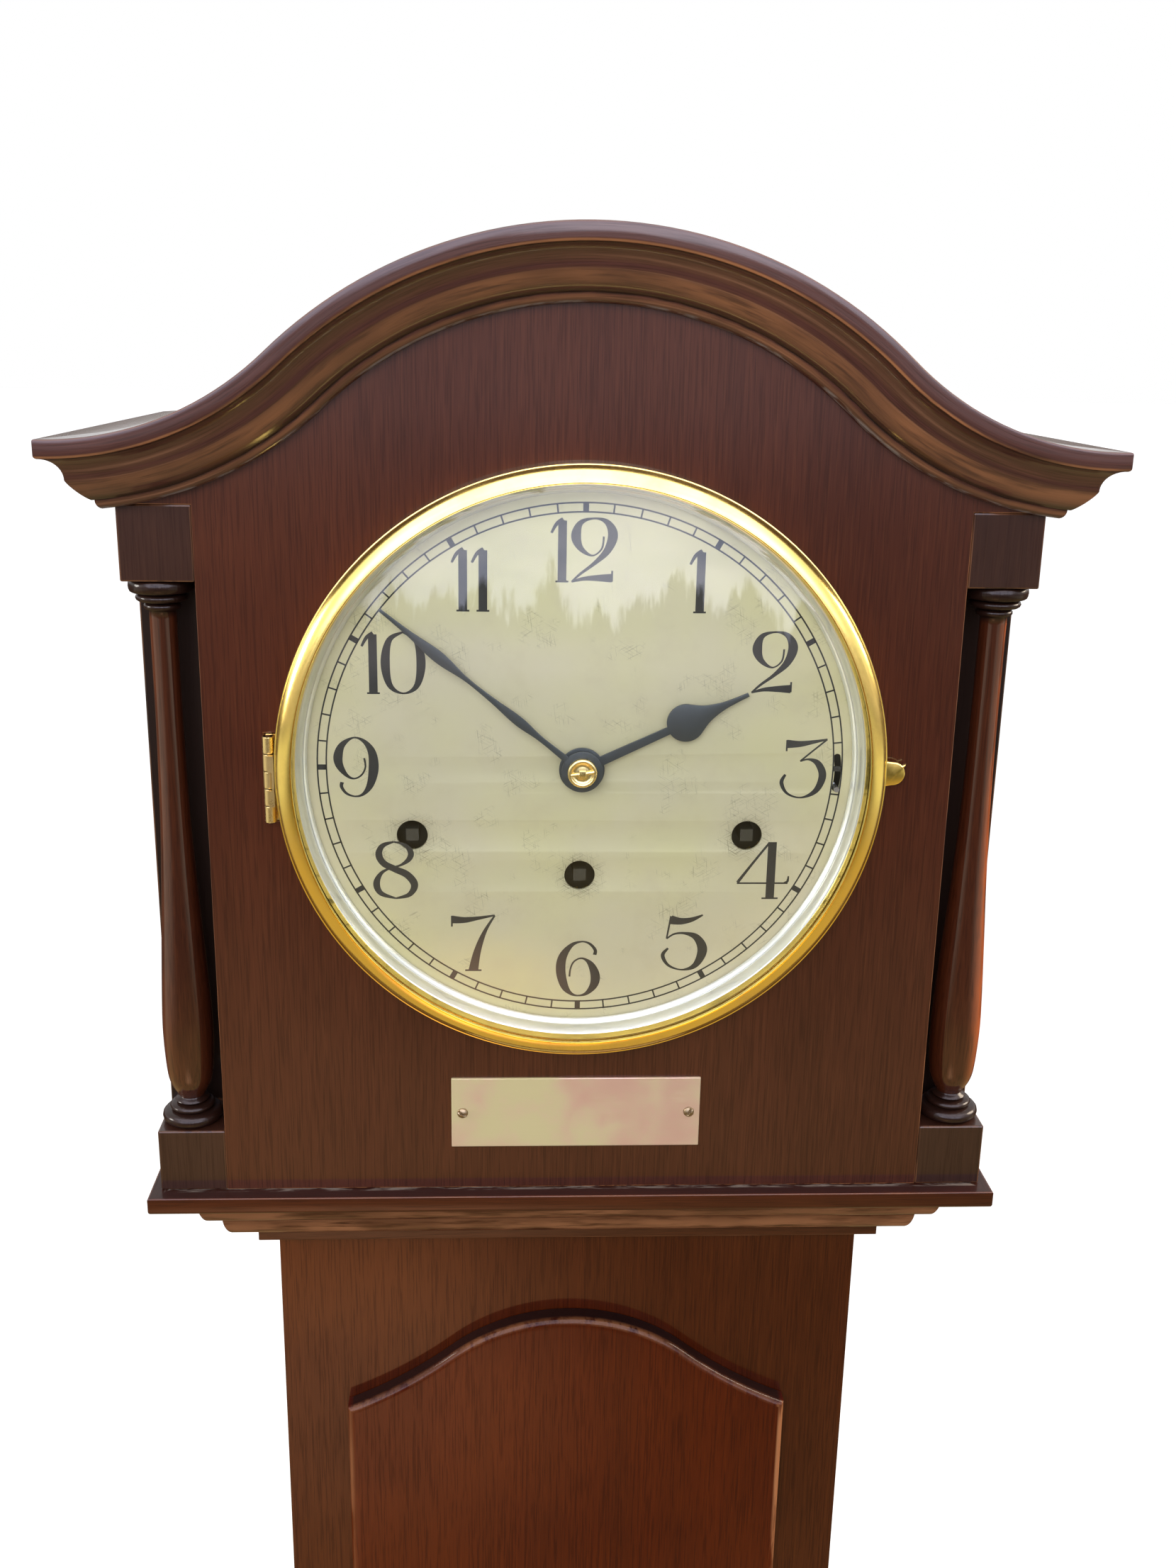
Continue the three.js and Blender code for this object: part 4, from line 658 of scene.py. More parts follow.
def ogee(arch, offset, half_width):
    """Points from left to right on a curve parallel to the arch, out to the half width."""
    crown_centre = arch["crown"] - arch["crown_radius"]
    foot_centre = arch["foot"] + arch["foot_radius"]
    reach = arch["crown_radius"] + arch["foot_radius"]
    foot_x = math.sqrt(reach ** 2 - (foot_centre - crown_centre) ** 2)
    lean = math.degrees(math.asin(foot_x / reach))
    crown_radius = arch["crown_radius"] + offset
    foot_radius = arch["foot_radius"] - offset
    end = math.degrees(math.asin((foot_x - half_width) / foot_radius))
    crown = arc(0, crown_centre, crown_radius, crown_radius, 90, 90 - lean, CROWN_STEPS // 2)
    foot = arc(foot_x, foot_centre, foot_radius, foot_radius, 270 - lean, 270 - end, FOOT_STEPS)
    right = crown + foot[1:]
    left = [(-x, z) for x, z in reversed(right[1:])]
    return left + right


CORNICE_OVERHANG = 20.0
CORNICE_HEIGHT = 24.5
CORNICE_FASCIA = 6.3
BEAD_HEIGHT = 3.4
BEAD_REACH = 5.2
QUIRK = 0.7
ARRIS = 0.7
WORN_ARRIS = 1.1
SWELL_FLATNESS = 1.7
CURVE_STEPS = 10


class Section:
    """The section of a moulding: reach and height of its points, with the marks that they carry."""

    def __init__(self):
        self.points = []
        self.marks = {"wear": [], "grime": [], "dust": []}

    def run(self, points, wear=0.0, grime=0.0, dust=0.0):
        """Adds points in a row. Wear and its painted highlight are strongest in the middle of the row and
        nil at its ends.
        """
        last = max(len(points) - 1, 1)
        for i, point in enumerate(points):
            self.points.append(point)
            self.marks["wear"].append(wear * math.sin(math.pi * i / last))
            self.marks["grime"].append(grime)
            self.marks["dust"].append(dust)

    def mark(self, obj):
        """Paints the marks on a skin whose rings all follow this section."""
        rings = len(obj.data.vertices) // len(self.points)
        for name, values in self.marks.items():
            paint(obj, name, values * rings)


def cornice_section():
    """From the foot of the bead to the top."""
    fillet = BEAD_REACH + QUIRK
    lip = CORNICE_OVERHANG - QUIRK
    soffit = CORNICE_HEIGHT - CORNICE_FASCIA
    middle = (BEAD_HEIGHT + soffit) / 2
    waist = (BEAD_REACH + CORNICE_OVERHANG) / 2
    bead = arc(BEAD_REACH / 2, BEAD_HEIGHT, BEAD_REACH / 2, BEAD_HEIGHT, -90, 0, 6)
    swell = []
    for across, up in arc(0, 0, 1, 1, 90, 0, CURVE_STEPS):
        reach, rise = across ** SWELL_FLATNESS, 1 - up ** SWELL_FLATNESS
        swell.append((fillet + (waist - fillet) * reach, BEAD_HEIGHT + (middle - BEAD_HEIGHT) * rise))
    hollow = arc(lip, middle, lip - waist, middle - BEAD_HEIGHT, 180, 90, CURVE_STEPS)
    section = Section()
    section.run([(0.0, 0.0), *bead[1:3]], dust=0.8)
    section.run(bead[3:], wear=0.4)
    # Painted shade in the quirk and at the foot of the swell.
    section.run([(BEAD_REACH, BEAD_HEIGHT), (fillet, BEAD_HEIGHT)], grime=0.9)
    section.run(swell[1:3], grime=0.6)
    # A painted orange highlight along the swell.
    section.run(swell[3:], wear=0.6)
    section.run(hollow[1:-2])
    # Painted shade at the top of the hollow, under the fascia.
    section.run(hollow[-2:], grime=0.5)
    # The fascia's lower arris is worn and also carries a painted highlight.
    section.run(eased(CORNICE_OVERHANG, soffit, WORN_ARRIS, -90, 6), wear=1.0)
    section.run(eased(CORNICE_OVERHANG, CORNICE_HEIGHT, ARRIS, 0, 4), wear=0.3)
    section.run([(0.0, CORNICE_HEIGHT)])
    return section


def cornice_front(section):
    runs = [ogee(HOOD_ARCH, z, HOOD_HALF / MM + x) for x, z in section.points]
    rings = []
    for i in range(len(runs[0])):
        ring = [(run[i][0], -x, run[i][1]) for run, (x, _) in zip(runs, section.points)]
        rings.append([Vector((DIAL.x + x * MM, BOARD_Y + y * MM, DIAL.z + z * MM)) for x, y, z in ring])
    return skin("cornice_arch", rings)


def cornice_return(section, side, name):
    ends = [ogee(HOOD_ARCH, z, HOOD_HALF / MM + x)[-1][1] for x, z in section.points]
    rings = []
    for y_of in (lambda x: BOARD_Y - x * MM, lambda x: BACK_Y):
        ring = []
        for (x, _), z in zip(section.points, ends):
            ring.append(Vector((side * (HOOD_HALF + x * MM), y_of(x), DIAL.z + z * MM)))
        rings.append(ring)
    return skin(name, rings)


SIDES = (("left", -1), ("right", 1))
cornice = cornice_section()
cornice_runs = {"cornice_front": cornice_front(cornice)}
for side_name, side in SIDES:
    cornice_runs[f"cornice_{side_name}"] = cornice_return(cornice, side, f"cornice_run_{side_name}")
for node, run in cornice_runs.items():
    cornice.mark(run)
    dress(tidy(run), mahogany_moulding, nodes=[node], sharp=MOULDING_ANGLE)
print("cornice of", len(cornice.points), "points a section")

# %% [markdown]
# Below the hood the base moulding steps in to the trunk by two ovolos, and the plinth has a cove and
# a skirting. Each is one section run round three sides of the case, mitred at the front corners.

# %% Straight mouldings
BASE_OVERHANG = (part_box("hood_base_front")[1].x - TRUNK_HALF) / MM
BASE_HEIGHT = (LEDGE_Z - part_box("hood_base_front")[0].z) / MM
BASE_FASCIA = 7.0
LEDGE_DROP = 2.4 * MM
FRONT_SHARE = 1 - 3.0 / BASE_OVERHANG
OVOLO = 4.5
OVOLO_REACHES = (0.65, 0.455, 0.17)
OVOLO_FEET = (0.482, 0.224)
BASE_ROUNDINGS = (1.6, 0.5, 0.6)
DUST_WIDTH = 1.2
PLINTH_REACH = 28.0
PLINTH_MOULDING = 34.0
PLINTH_FILLET = 5.0
SKIRTING_HEIGHT = 60.0
SKIRTING_THICKNESS = 9.0
SKIRTING_SHOULDER = 12.0


def base_section():
    top = BASE_HEIGHT - LEDGE_DROP / MM
    soffit = top - BASE_FASCIA
    first, second, fillet = (share * BASE_OVERHANG for share in OVOLO_REACHES)
    first_foot, second_foot = (share * top for share in OVOLO_FEET)
    lower, upper, small = BASE_ROUNDINGS
    joint = (TRUNK_Y - BOARD_Y) / MM / FRONT_SHARE
    section = Section()
    section.run([(0.0, 0.0)])
    section.run(eased(fillet, 0.0, small, -90, 4), wear=0.4)
    # Painted shade at the foot of the lower ovolo.
    section.run([(fillet, second_foot)], grime=0.4)
    # Both ovolos carry wear and a painted highlight.
    for reach, foot, head in ((second, second_foot, first_foot), (first, first_foot, soffit)):
        section.run(arc(reach - OVOLO, head, OVOLO, head - foot, -90, 0, CURVE_STEPS), wear=0.8)
    section.run(eased(BASE_OVERHANG, soffit, lower, -90, 5))
    section.run(eased(BASE_OVERHANG, top, upper, 0, 5), wear=0.45)
    # The ledge top is painted dark as shade, and dust lies by the joint.
    section.run([(BASE_OVERHANG - 2 * upper, top), (joint + 2 * DUST_WIDTH, top)], grime=0.6)
    section.run([(joint + DUST_WIDTH, top), (joint, top), (0.0, top)], grime=0.6, dust=0.9)
    return section


def plinth_section():
    cove = PLINTH_REACH - 2 * PLINTH_FILLET
    rise = PLINTH_MOULDING - 2 * PLINTH_FILLET
    centre_x, centre_z = PLINTH_FILLET + cove, PLINTH_FILLET + rise
    section = Section()
    section.run([(0.0, 0.0)])
    section.run(eased(PLINTH_REACH, 0.0, ARRIS, -90, 4), wear=0.6)
    section.run(eased(PLINTH_REACH, PLINTH_FILLET, ARRIS, 0, 4), wear=0.6)
    # Painted shade in the cove, and at the top against the trunk.
    section.run(arc(centre_x, centre_z, cove, rise, 270, 180, CURVE_STEPS), grime=0.15)
    section.run(eased(PLINTH_FILLET, PLINTH_MOULDING, ARRIS, 0, 4), wear=0.6)
    section.run([(0.0, PLINTH_MOULDING)], grime=0.6)
    return section


def skirting_section():
    flat, round_part = SKIRTING_THICKNESS / 3, SKIRTING_THICKNESS * 2 / 3
    start = SKIRTING_HEIGHT - SKIRTING_SHOULDER
    section = Section()
    # Painted shade at the foot against the floor, and at the top under the plinth.
    section.run([(0.0, 0.0)], grime=0.6)
    section.run([(SKIRTING_THICKNESS, height) for height in (0.0, start / 8, start / 3)], wear=0.4)
    section.run(arc(flat, start, round_part, SKIRTING_SHOULDER, 0, 90, CURVE_STEPS), wear=0.25)
    section.run([(0.0, SKIRTING_HEIGHT)], grime=0.6)
    return section


def run_of(name, section, half, front_y, bottom_z, corners, front_share=1.0):
    """A straight moulding through corners given as side and whether it lies at the front."""
    rings = []
    for side, at_front in corners:
        ring = []
        for x, z in section.points:
            y = front_y - x * front_share * MM if at_front else BACK_Y
            ring.append(Vector((side * (half + x * MM), y, bottom_z + z * MM)))
        rings.append(ring)
    obj = skin(name, rings)
    section.mark(obj)
    return tidy(obj)


base = base_section()
base_z = LEDGE_Z - BASE_HEIGHT * MM
base_runs = {
    "front": [(-1, True), (1, True)],
    "left": [(-1, False), (-1, True)],
    "right": [(1, True), (1, False)],
}
for base_name, corners in base_runs.items():
    run = run_of(f"hood_base_run_{base_name}", base, TRUNK_HALF, TRUNK_Y, base_z, corners, FRONT_SHARE)
    dress(run, mahogany_base, nodes=[f"hood_base_{base_name}"], sharp=MOULDING_ANGLE)
plinth_low, plinth_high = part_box("plinth_box")
round_case = [(-1, False), (-1, True), (1, True), (1, False)]
plinth_run = run_of("plinth_cove", plinth_section(), TRUNK_HALF, TRUNK_Y, plinth_high.z, round_case)
dress(plinth_run, mahogany_base, nodes=["plinth_moulding"], sharp=MOULDING_ANGLE)
skirting_run = run_of("skirting_run", skirting_section(), plinth_high.x, plinth_low.y, 0.0, round_case)
dress(skirting_run, mahogany_base, nodes=["skirting"], sharp=MOULDING_ANGLE)
print("base moulding", round(BASE_OVERHANG, 1), "by", round(BASE_HEIGHT, 1), "mm")

# %% [markdown]
# The columns were turned from one length of mahogany. Each has a ringed base, a shaft that swells to
# a belly low down and narrows to its neck, and a ringed capital. The shaft is a smooth curve through
# ten radii, and the rings are beads that a turner would cut with two chisels. Each bead is listed with
# its bottom, its top, its inner and outer share of the widest ring, and its steps. The outer side of
# each shaft carries a painted red highlight, strongest on the right, where side light would fall,
# and the rings are painted dark as shade.

# %% Columns
NECK_RADIUS = 4.8
BELLY_RADIUS = 9.5
WIDEST_RADIUS = 11.5
CAPITAL_HEIGHT = 11.4
BASE_RINGS = 10.0
COLUMN_SHIFT = 1.2 * MM
SHAFT_STEPS = 10
# How strongly the outer side of each column is painted with a red highlight.
PAINTED_HIGHLIGHT = {"left": 0.15, "right": 1.0}
HIGHLIGHT_START, HIGHLIGHT_WIDTH = 0.2, 0.7
# Painted shade behind the columns and on their rings.
RECESS_SHADE = 0.8
BLOCK_DROP = 2.3 * MM
BLOCK_RISE = 2.1 * MM
FOOT_DROP = 1.8 * MM
BASE_BEADS = ((0.0, 4.4, 0.72, 1.0, 6), (4.8, 7.2, 0.3, 0.56, 6), (7.6, 9.4, 0.06, 0.25, 4))
CAPITAL_BEADS = ((0.4, 3.0, 0.06, 0.27, 5), (3.4, 6.4, 0.36, 0.66, 6), (6.9, CAPITAL_HEIGHT, 0.85, 1.0, 6))
SHAFT_STATIONS = ((0.0, 0.0), (0.62, 0.03), (0.87, 0.065), (1.0, 0.14), (0.93, 0.21), (0.68, 0.33),
                  (0.39, 0.46), (0.15, 0.6), (0.02, 0.79), (0.0, 1.0))


def smooth_through(stations, steps):
    """A Catmull-Rom curve through points of any size, with the end points repeated."""
    points = [Vector(p) for p in (stations[0], *stations, stations[-1])]
    result = []
    for a, b, c, d in zip(points, points[1:], points[2:], points[3:]):
        for i in range(steps):
            t = i / steps
            weights = (-t + 2 * t ** 2 - t ** 3, 2 - 5 * t ** 2 + 3 * t ** 3,
                       t + 4 * t ** 2 - 3 * t ** 3, t ** 3 - t ** 2)
            result.append(sum((w * p for w, p in zip(weights, (a, b, c, d))), a * 0.0) / 2)
    return result + [points[-1]]


def bead(bottom, top, inner, outer, steps):
    middle, half = (bottom + top) / 2, (top - bottom) / 2
    return [(inner + (outer - inner) * x, middle + half * z) for x, z in arc(0, 0, 1, 1, -90, 90, steps)]


def column_profile(bottom, top):
    shaft_low, shaft_high = bottom + BASE_RINGS, top - CAPITAL_HEIGHT
    swell = BELLY_RADIUS - NECK_RADIUS
    length = shaft_high - shaft_low
    stations = [(NECK_RADIUS + share * swell, shaft_low + up * length) for share, up in SHAFT_STATIONS]

    def ringed(start, beads):
        points = []
        for low, high, *shares, steps in beads:
            inner, outer = (NECK_RADIUS + share * (WIDEST_RADIUS - NECK_RADIUS) for share in shares)
            points += bead(start + low, start + high, inner, outer, steps)
        return points

    shaft = [tuple(point) for point in smooth_through(stations, SHAFT_STEPS)]
    return [(0, bottom), *ringed(bottom, BASE_BEADS), *shaft, *ringed(shaft_high, CAPITAL_BEADS), (0, top)]


def outer_share(point, middle, side):
    """0 on the inner half of a shaft, and 1 along its outermost line."""
    out = Vector((point.x - middle.x, point.y - middle.y))
    return min(max(side * out.x / max(out.length, MM) - HIGHLIGHT_START, 0.0) / HIGHLIGHT_WIDTH, 1.0)


for side_name, side in SIDES:
    low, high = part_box(f"column_{side_name}")
    middle = Vector(((low.x + high.x) / 2 + side * COLUMN_SHIFT, (low.y + high.y) / 2 - COLUMN_SHIFT, 0))
    low.z -= FOOT_DROP
    high.z -= BLOCK_DROP
    profile = column_profile(low.z / MM, high.z / MM)
    column = turned(f"turned_column_{side_name}", profile, middle, "Z")
    shaft_low, shaft_high = low.z + BASE_RINGS * MM, high.z - CAPITAL_HEIGHT * MM
    points = [vertex.co for vertex in column.data.vertices]
    # The rings are painted dark as shade, and the shaft's outer side gets a painted red highlight.
    shaded = [0.0 if shaft_low < point.z < shaft_high else RECESS_SHADE for point in points]
    paint(column, "grime", shaded)
    sheen_and_wear_share = [outer_share(point, middle, side) * PAINTED_HIGHLIGHT[side_name] for point in points]
    paint(column, "wear", [0.0 if ring_shade else share for ring_shade, share in zip(shaded, sheen_and_wear_share)])
    dress(column, mahogany_column, nodes=[f"column_{side_name}"], sharp=TURNED_ANGLE)
print("columns of", len(profile), "points")

# %% [markdown]
# Flat boards come straight from the frame. Their arrises are rounded by about half a millimetre and
# marked as worn, which is what catches the light on a real case. The level edges of the blocks by the
# columns and of the hood's foot move by a few millimetres, to where the photograph has them.

# %% Boards
BOARD_FINISHES = {
    "front_board": (mahogany_board, 0.6, 0.9),
    "hood_side_left": (mahogany_block, 0.6, 0.3),
    "hood_side_right": (mahogany_block, 0.6, 0.3),
    "trunk_front": (mahogany_trunk, 0.4, 0.2),
    "trunk_side_left": (mahogany_trunk, 0.5, 0.3),
    "trunk_side_right": (mahogany_trunk, 0.5, 0.3),
    "plinth_box": (mahogany_plinth, 0.6, 0.5),
}


def darken_recess(side, column):
    """Paints shade on the rebate behind a column, where the column keeps the light off."""
    low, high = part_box(column)
    outer = max(abs(vertex.co.x) for vertex in side.data.vertices)
    values = []
    for face in side.data.polygons:
        hidden = low.z < face.center.z < high.z and abs(face.center.x) < outer - 0.1 * MM
        values.append(RECESS_SHADE if hidden else 0.0)
    layer = side.data.attributes.new("grime", "FLOAT", "FACE")
    layer.data.foreach_set("value", values)


def shift_edge(board, height, by):
    """Moves one level edge of a board up or down."""
    for vertex in board.data.vertices:
        if abs(vertex.co.z - height) < MM:
            vertex.co.z += by


ears = [v.co.z for v in frame["nodes"]["front_board"].data.vertices if abs(v.co.x) > HOOD_HALF - MM]
column_low, column_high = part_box("column_left")
EDGE_SHIFTS = ((min(ears), BLOCK_RISE), (column_high.z, -BLOCK_DROP), (column_low.z, -FOOT_DROP),
               (LEDGE_Z, -LEDGE_DROP))
for node, (material, width, worn_and_sheen) in BOARD_FINISHES.items():
    board = softened(node, width, worn_and_sheen=worn_and_sheen)
    # The hood sides get painted shade in the rebate behind each column.
    if node.startswith("hood_side"):
        darken_recess(board, node.replace("hood_side", "column"))
    if not node.startswith(("trunk", "plinth")):
        for height, by in EDGE_SHIFTS:
            shift_edge(board, height, by)
    dress(board, material, nodes=[node], sharp=FLAT_ANGLE)
for node, material in (("backboard", softwood_upright), ("seat_board", softwood_across)):
    dress(softened(node, 0.5), material, nodes=[node], sharp=FLAT_ANGLE)
dress(softened("hood_roof", 0.3), mahogany_roof, nodes=["hood_roof"], sharp=ROUND_ANGLE)
print(len(BOARD_FINISHES) + 3, "boards softened")

# %% [markdown]
# The trunk door has a thick lip with a rounded front edge, which lies over the trunk's face. Its
# outline is an ogee again. Rings of that outline, drawn in step by step along a quarter round, make
# the edge, and a tongue behind the lip fills the opening.

# %% Trunk door
DOOR_HALF = 94.0
DOOR_CROWN = -(BASE_HEIGHT + 38.6)
DOOR_RISE = 57.5
DOOR_ARCH = {"crown_radius": 79.6, "foot_radius": 181.0, "crown": DOOR_CROWN,
             "foot": DOOR_CROWN - DOOR_RISE}
DOOR_LIP = 8.0
DOOR_ROUNDING = 2.8
DOOR_TONGUE = 9.4
TONGUE_INSET = 6.0
DOOR_GAP = 0.3
DOOR_FIELD = 2.0
# Painted shade on the back of the door's lip, and wear with a painted highlight on its rounding.
DOOR_LIP_SHADE = 0.85
DOOR_WEAR_AND_SHEEN = 1.8
ROUNDING_STEPS = 7
DOOR_BOTTOM = (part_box("trunk_door")[0].z - LEDGE_Z) / MM


def door_outline(inset):
    half = DOOR_HALF - inset
    return [*ogee(DOOR_ARCH, -inset, half), (half, DOOR_BOTTOM + inset), (-half, DOOR_BOTTOM + inset)]


def door_ring(inset, y):
    return [Vector((x * MM, TRUNK_Y + y * MM, LEDGE_Z + z * MM)) for x, z in door_outline(inset)]


def trunk_door():
    front = -DOOR_GAP - DOOR_LIP
    rings = [door_ring(TONGUE_INSET, y) for y in (DOOR_TONGUE, -DOOR_GAP)]
    rings.append(door_ring(0, -DOOR_GAP))
    # The rounding is worn all round and painted as a strong orange highlight on the right edge, where side
    # light would fall; painted shade lies behind the lip along the arch.
    wear = [0.0] * 3
    grime = [DOOR_LIP_SHADE] * 3
    edge = (DOOR_HALF - 1.0) * MM
    right = [1.0 if point.x > edge else 0.25 for point in rings[-1]]
    arched = [1.0 if abs(point.x) < edge else 0.0 for point in rings[-1]]
    radius = DOOR_ROUNDING
    for i, (inset, depth) in enumerate(arc(radius, radius, radius, radius, 180, 270, ROUNDING_STEPS)):
        step = i / ROUNDING_STEPS
        rings.append(door_ring(inset, front + depth))
        wear.append(DOOR_WEAR_AND_SHEEN * math.sin(math.pi * step))
        grime.append(DOOR_LIP_SHADE * (1 - step))
    rings.append(door_ring(radius + DOOR_FIELD, front))
    wear.append(0.0)
    grime.append(0.0)
    obj = skin("lipped_door", rings)
    paint(obj, "wear", [value * share for value in wear for share in right])
    paint(obj, "grime", [value * share for value in grime for share in arched])
    return tidy(obj)


dress(trunk_door(), mahogany_door, body="door", nodes=["trunk_door"], sharp=MOULDING_ANGLE)
print("door lip", DOOR_LIP, "mm thick")

# %% [markdown]
# The bezel is spun brass: a broad swept rim, a thin groove, and a lip that holds the glass. Behind
# the glass a silvered sight ring leads the eye in to the dial. Both are turned from profiles that
# keep inside the solids' own steps. The reflections show that the glass is domed, so its solid, which
# is a flat pane, is replaced by a shallow cap of a sphere that sits in the same seat.

# %% Bezel, sight ring and glass
BEZEL_RADIUS = (bezel_high.x - bezel_low.x) / 2 / MM
RIM_WIDTH = 6.0
RIM_DEPTH = 3.7
RIM_SWEEP = 52.0
RIM_ROUND = 0.8
SEAT_RADIUS = BEZEL_RADIUS - 4.3
LIP_RADIUS = SEAT_RADIUS - 2.2
LIP_THICKNESS = 1.7
FIT = 0.3
BEZEL_BACK = -FIT
BEZEL_FRONT = (bezel_low.y - BOARD_Y) / MM
SIGHT_RADIUS = SEAT_RADIUS - 6.2
WALL_DEPTH = 2.6
BEZEL_EDGE = 0.4
GROOVE = ((0.12, 0.4), (0.32, 0.4), (0.45, 0.1))
GLASS_CURVE = 480.0
DOME_STEPS = 24
ROUND_STEPS = 192
HOOD_CENTRE = Vector((DIAL.x, BOARD_Y, DIAL.z))


def bezel_profile():
    inner = BEZEL_RADIUS - RIM_WIDTH
    swept = RIM_WIDTH - RIM_ROUND / 2
    slope = math.degrees(math.atan2(swept, RIM_DEPTH))
    curve = math.hypot(swept, RIM_DEPTH) / 2 / math.sin(math.radians(RIM_SWEEP / 2))
    start, end = -slope + RIM_SWEEP / 2, -slope - RIM_SWEEP / 2
    centre_x = inner - curve * math.cos(math.radians(end))
    centre_y = BEZEL_FRONT - curve * math.sin(math.radians(end))
    rim = arc(centre_x, centre_y, curve, curve, start, end, 16)
    side = rim[0][1] - RIM_ROUND * math.sin(math.radians(start))
    corner = arc(BEZEL_RADIUS - RIM_ROUND, side, RIM_ROUND, RIM_ROUND, 0, start, 5)[:-1]
    lip_back = BEZEL_FRONT + LIP_THICKNESS
    return [
        (SEAT_RADIUS, BEZEL_BACK),
        (BEZEL_RADIUS - BEZEL_EDGE, BEZEL_BACK), (BEZEL_RADIUS, BEZEL_BACK - BEZEL_EDGE),
        *corner, *rim, *((inner - width, BEZEL_FRONT + depth) for width, depth in GROOVE),
        (LIP_RADIUS + 0.2, BEZEL_FRONT + 0.2), (LIP_RADIUS, BEZEL_FRONT + 0.5),
        (LIP_RADIUS, lip_back), (SEAT_RADIUS, lip_back),
    ]


def wall_profile(front):
    rim = SEAT_RADIUS - FIT
    back = front + WALL_DEPTH
    return [(rim, front), (LIP_RADIUS + 0.3, front), (LIP_RADIUS - 0.4, back), (rim, back)]


def sight_profile(front, foot):
    rim = SEAT_RADIUS - FIT
    return [
        (rim, front + WALL_DEPTH), (LIP_RADIUS - 0.4, front + WALL_DEPTH),
        *bead(front + 2.7, front + 3.3, LIP_RADIUS - 0.6, LIP_RADIUS - 1.0, 4),
        (LIP_RADIUS - 0.8, front + 3.5), (SIGHT_RADIUS + 1.5, foot - 2.3),
        *bead(foot - 2.2, foot - 1.7, SIGHT_RADIUS + 1.5, SIGHT_RADIUS + 1.1, 4),
        (SIGHT_RADIUS + 1.3, foot - 1.5), (SIGHT_RADIUS + 0.1, foot - 0.4), (SIGHT_RADIUS, foot),
        (SIGHT_RADIUS + 1.0, foot), (rim, front + WALL_DEPTH + 1.5),
    ]


def glass_profile(pane_front, pane_back):
    """A domed glass with a flat rim: its front from the middle out, then its back to the middle."""
    seat, rim = SEAT_RADIUS - FIT, LIP_RADIUS - FIT
    radii = [rim * i / DOME_STEPS for i in range(DOME_STEPS + 1)]
    rise = math.sqrt(GLASS_CURVE ** 2 - rim ** 2)
    dome = [(r, rise - math.sqrt(GLASS_CURVE ** 2 - r ** 2)) for r in radii]
    front = [(r, pane_front + y) for r, y in dome]
    back = [(r, pane_back + y) for r, y in reversed(dome)]
    return [*front, (seat, pane_front), (seat, pane_back), *back]


def depths(box):
    """How far the front and the back of a solid's box lie behind the board's face."""
    return [(corner.y - BOARD_Y) / MM for corner in box]


def spun(name, profile, material, nodes, sharp=SPUN_ANGLE):
    piece = turned(name, profile, HOOD_CENTRE, "Y", ROUND_STEPS)
    dress(piece, material, body="bezel_door", nodes=nodes, sharp=sharp)


sight_front, sight_foot = depths(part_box("sight_ring"))
pane_front, pane_back = depths(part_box("bezel_glass"))
spun("spun_bezel", bezel_profile(), polished_brass, ["bezel"])
spun("silvered_sight_ring", sight_profile(sight_front, sight_foot), silvered_ring,
     ["sight_ring"])
spun("bezel_wall", wall_profile(sight_front), polished_brass, [])
spun("domed_glass", glass_profile(pane_front, pane_back), glass, ["bezel_glass"], SHEET_ANGLE)
print("bezel", round(BEZEL_RADIUS * 2, 1), "mm across")

# %% [markdown]
# The dial plate is a disc with three winding holes, a hole for the hour pipe and a curved slot for
# the chime lever. It is cut as a sheet, so the holes are real and the squares show behind them.

# %% Dial plate
DIAL_RADIUS = (dial_high.x - dial_low.x) / 2 / MM
DIAL_THICKNESS = 1.5
PIPE_HOLE = 4.2
LEVER_ARM = 28.0
SLOT_X = SIGHT_RADIUS - 4.8
SLOT_MIDDLE = -1.5
SLOT_HALF_ANGLE = 12.0
SLOT_RADIUS = 1.3


def slot_outline():
    pivot = SLOT_X - LEVER_ARM
    half = SLOT_HALF_ANGLE
    outer = arc(pivot, SLOT_MIDDLE, LEVER_ARM + SLOT_RADIUS, LEVER_ARM + SLOT_RADIUS, -half, half, 12)
    inner = arc(pivot, SLOT_MIDDLE, LEVER_ARM - SLOT_RADIUS, LEVER_ARM - SLOT_RADIUS, half, -half, 12)
    ends = []
    for angle, start in ((half, half), (-half, -half - 180)):
        x = pivot + LEVER_ARM * math.cos(math.radians(angle))
        z = SLOT_MIDDLE + LEVER_ARM * math.sin(math.radians(angle))
        ends.append(arc(x, z, SLOT_RADIUS, SLOT_RADIUS, start, start + 180, 8)[1:-1])
    return outer + ends[0] + inner + ends[1]


holes = [circle(WINDING_RADIUS / MM, 48, (p.x - DIAL.x) / MM, (p.z - DIAL.z) / MM) for p in WINDING_HOLES]
holes += [circle(PIPE_HOLE, 48), slot_outline()]
dial = sheet("dial_disc", circle(DIAL_RADIUS, ROUND_STEPS), holes, DIAL.y, DIAL_THICKNESS, rounding=0.15)
dress(dial, dial_finish, nodes=["dial_plate"])
print("dial", round(DIAL_RADIUS * 2, 1), "mm across, with", len(holes), "holes")

# %% [markdown]
# The minute track repeats one short line sixty times between two rings, with a broad block at each
# five minutes. That is work for Geometry Nodes: points on a circle carry boxes, and two swept
# circles make the rings. The boxes stand up from the dial by a few hundredths, as thick ink does.

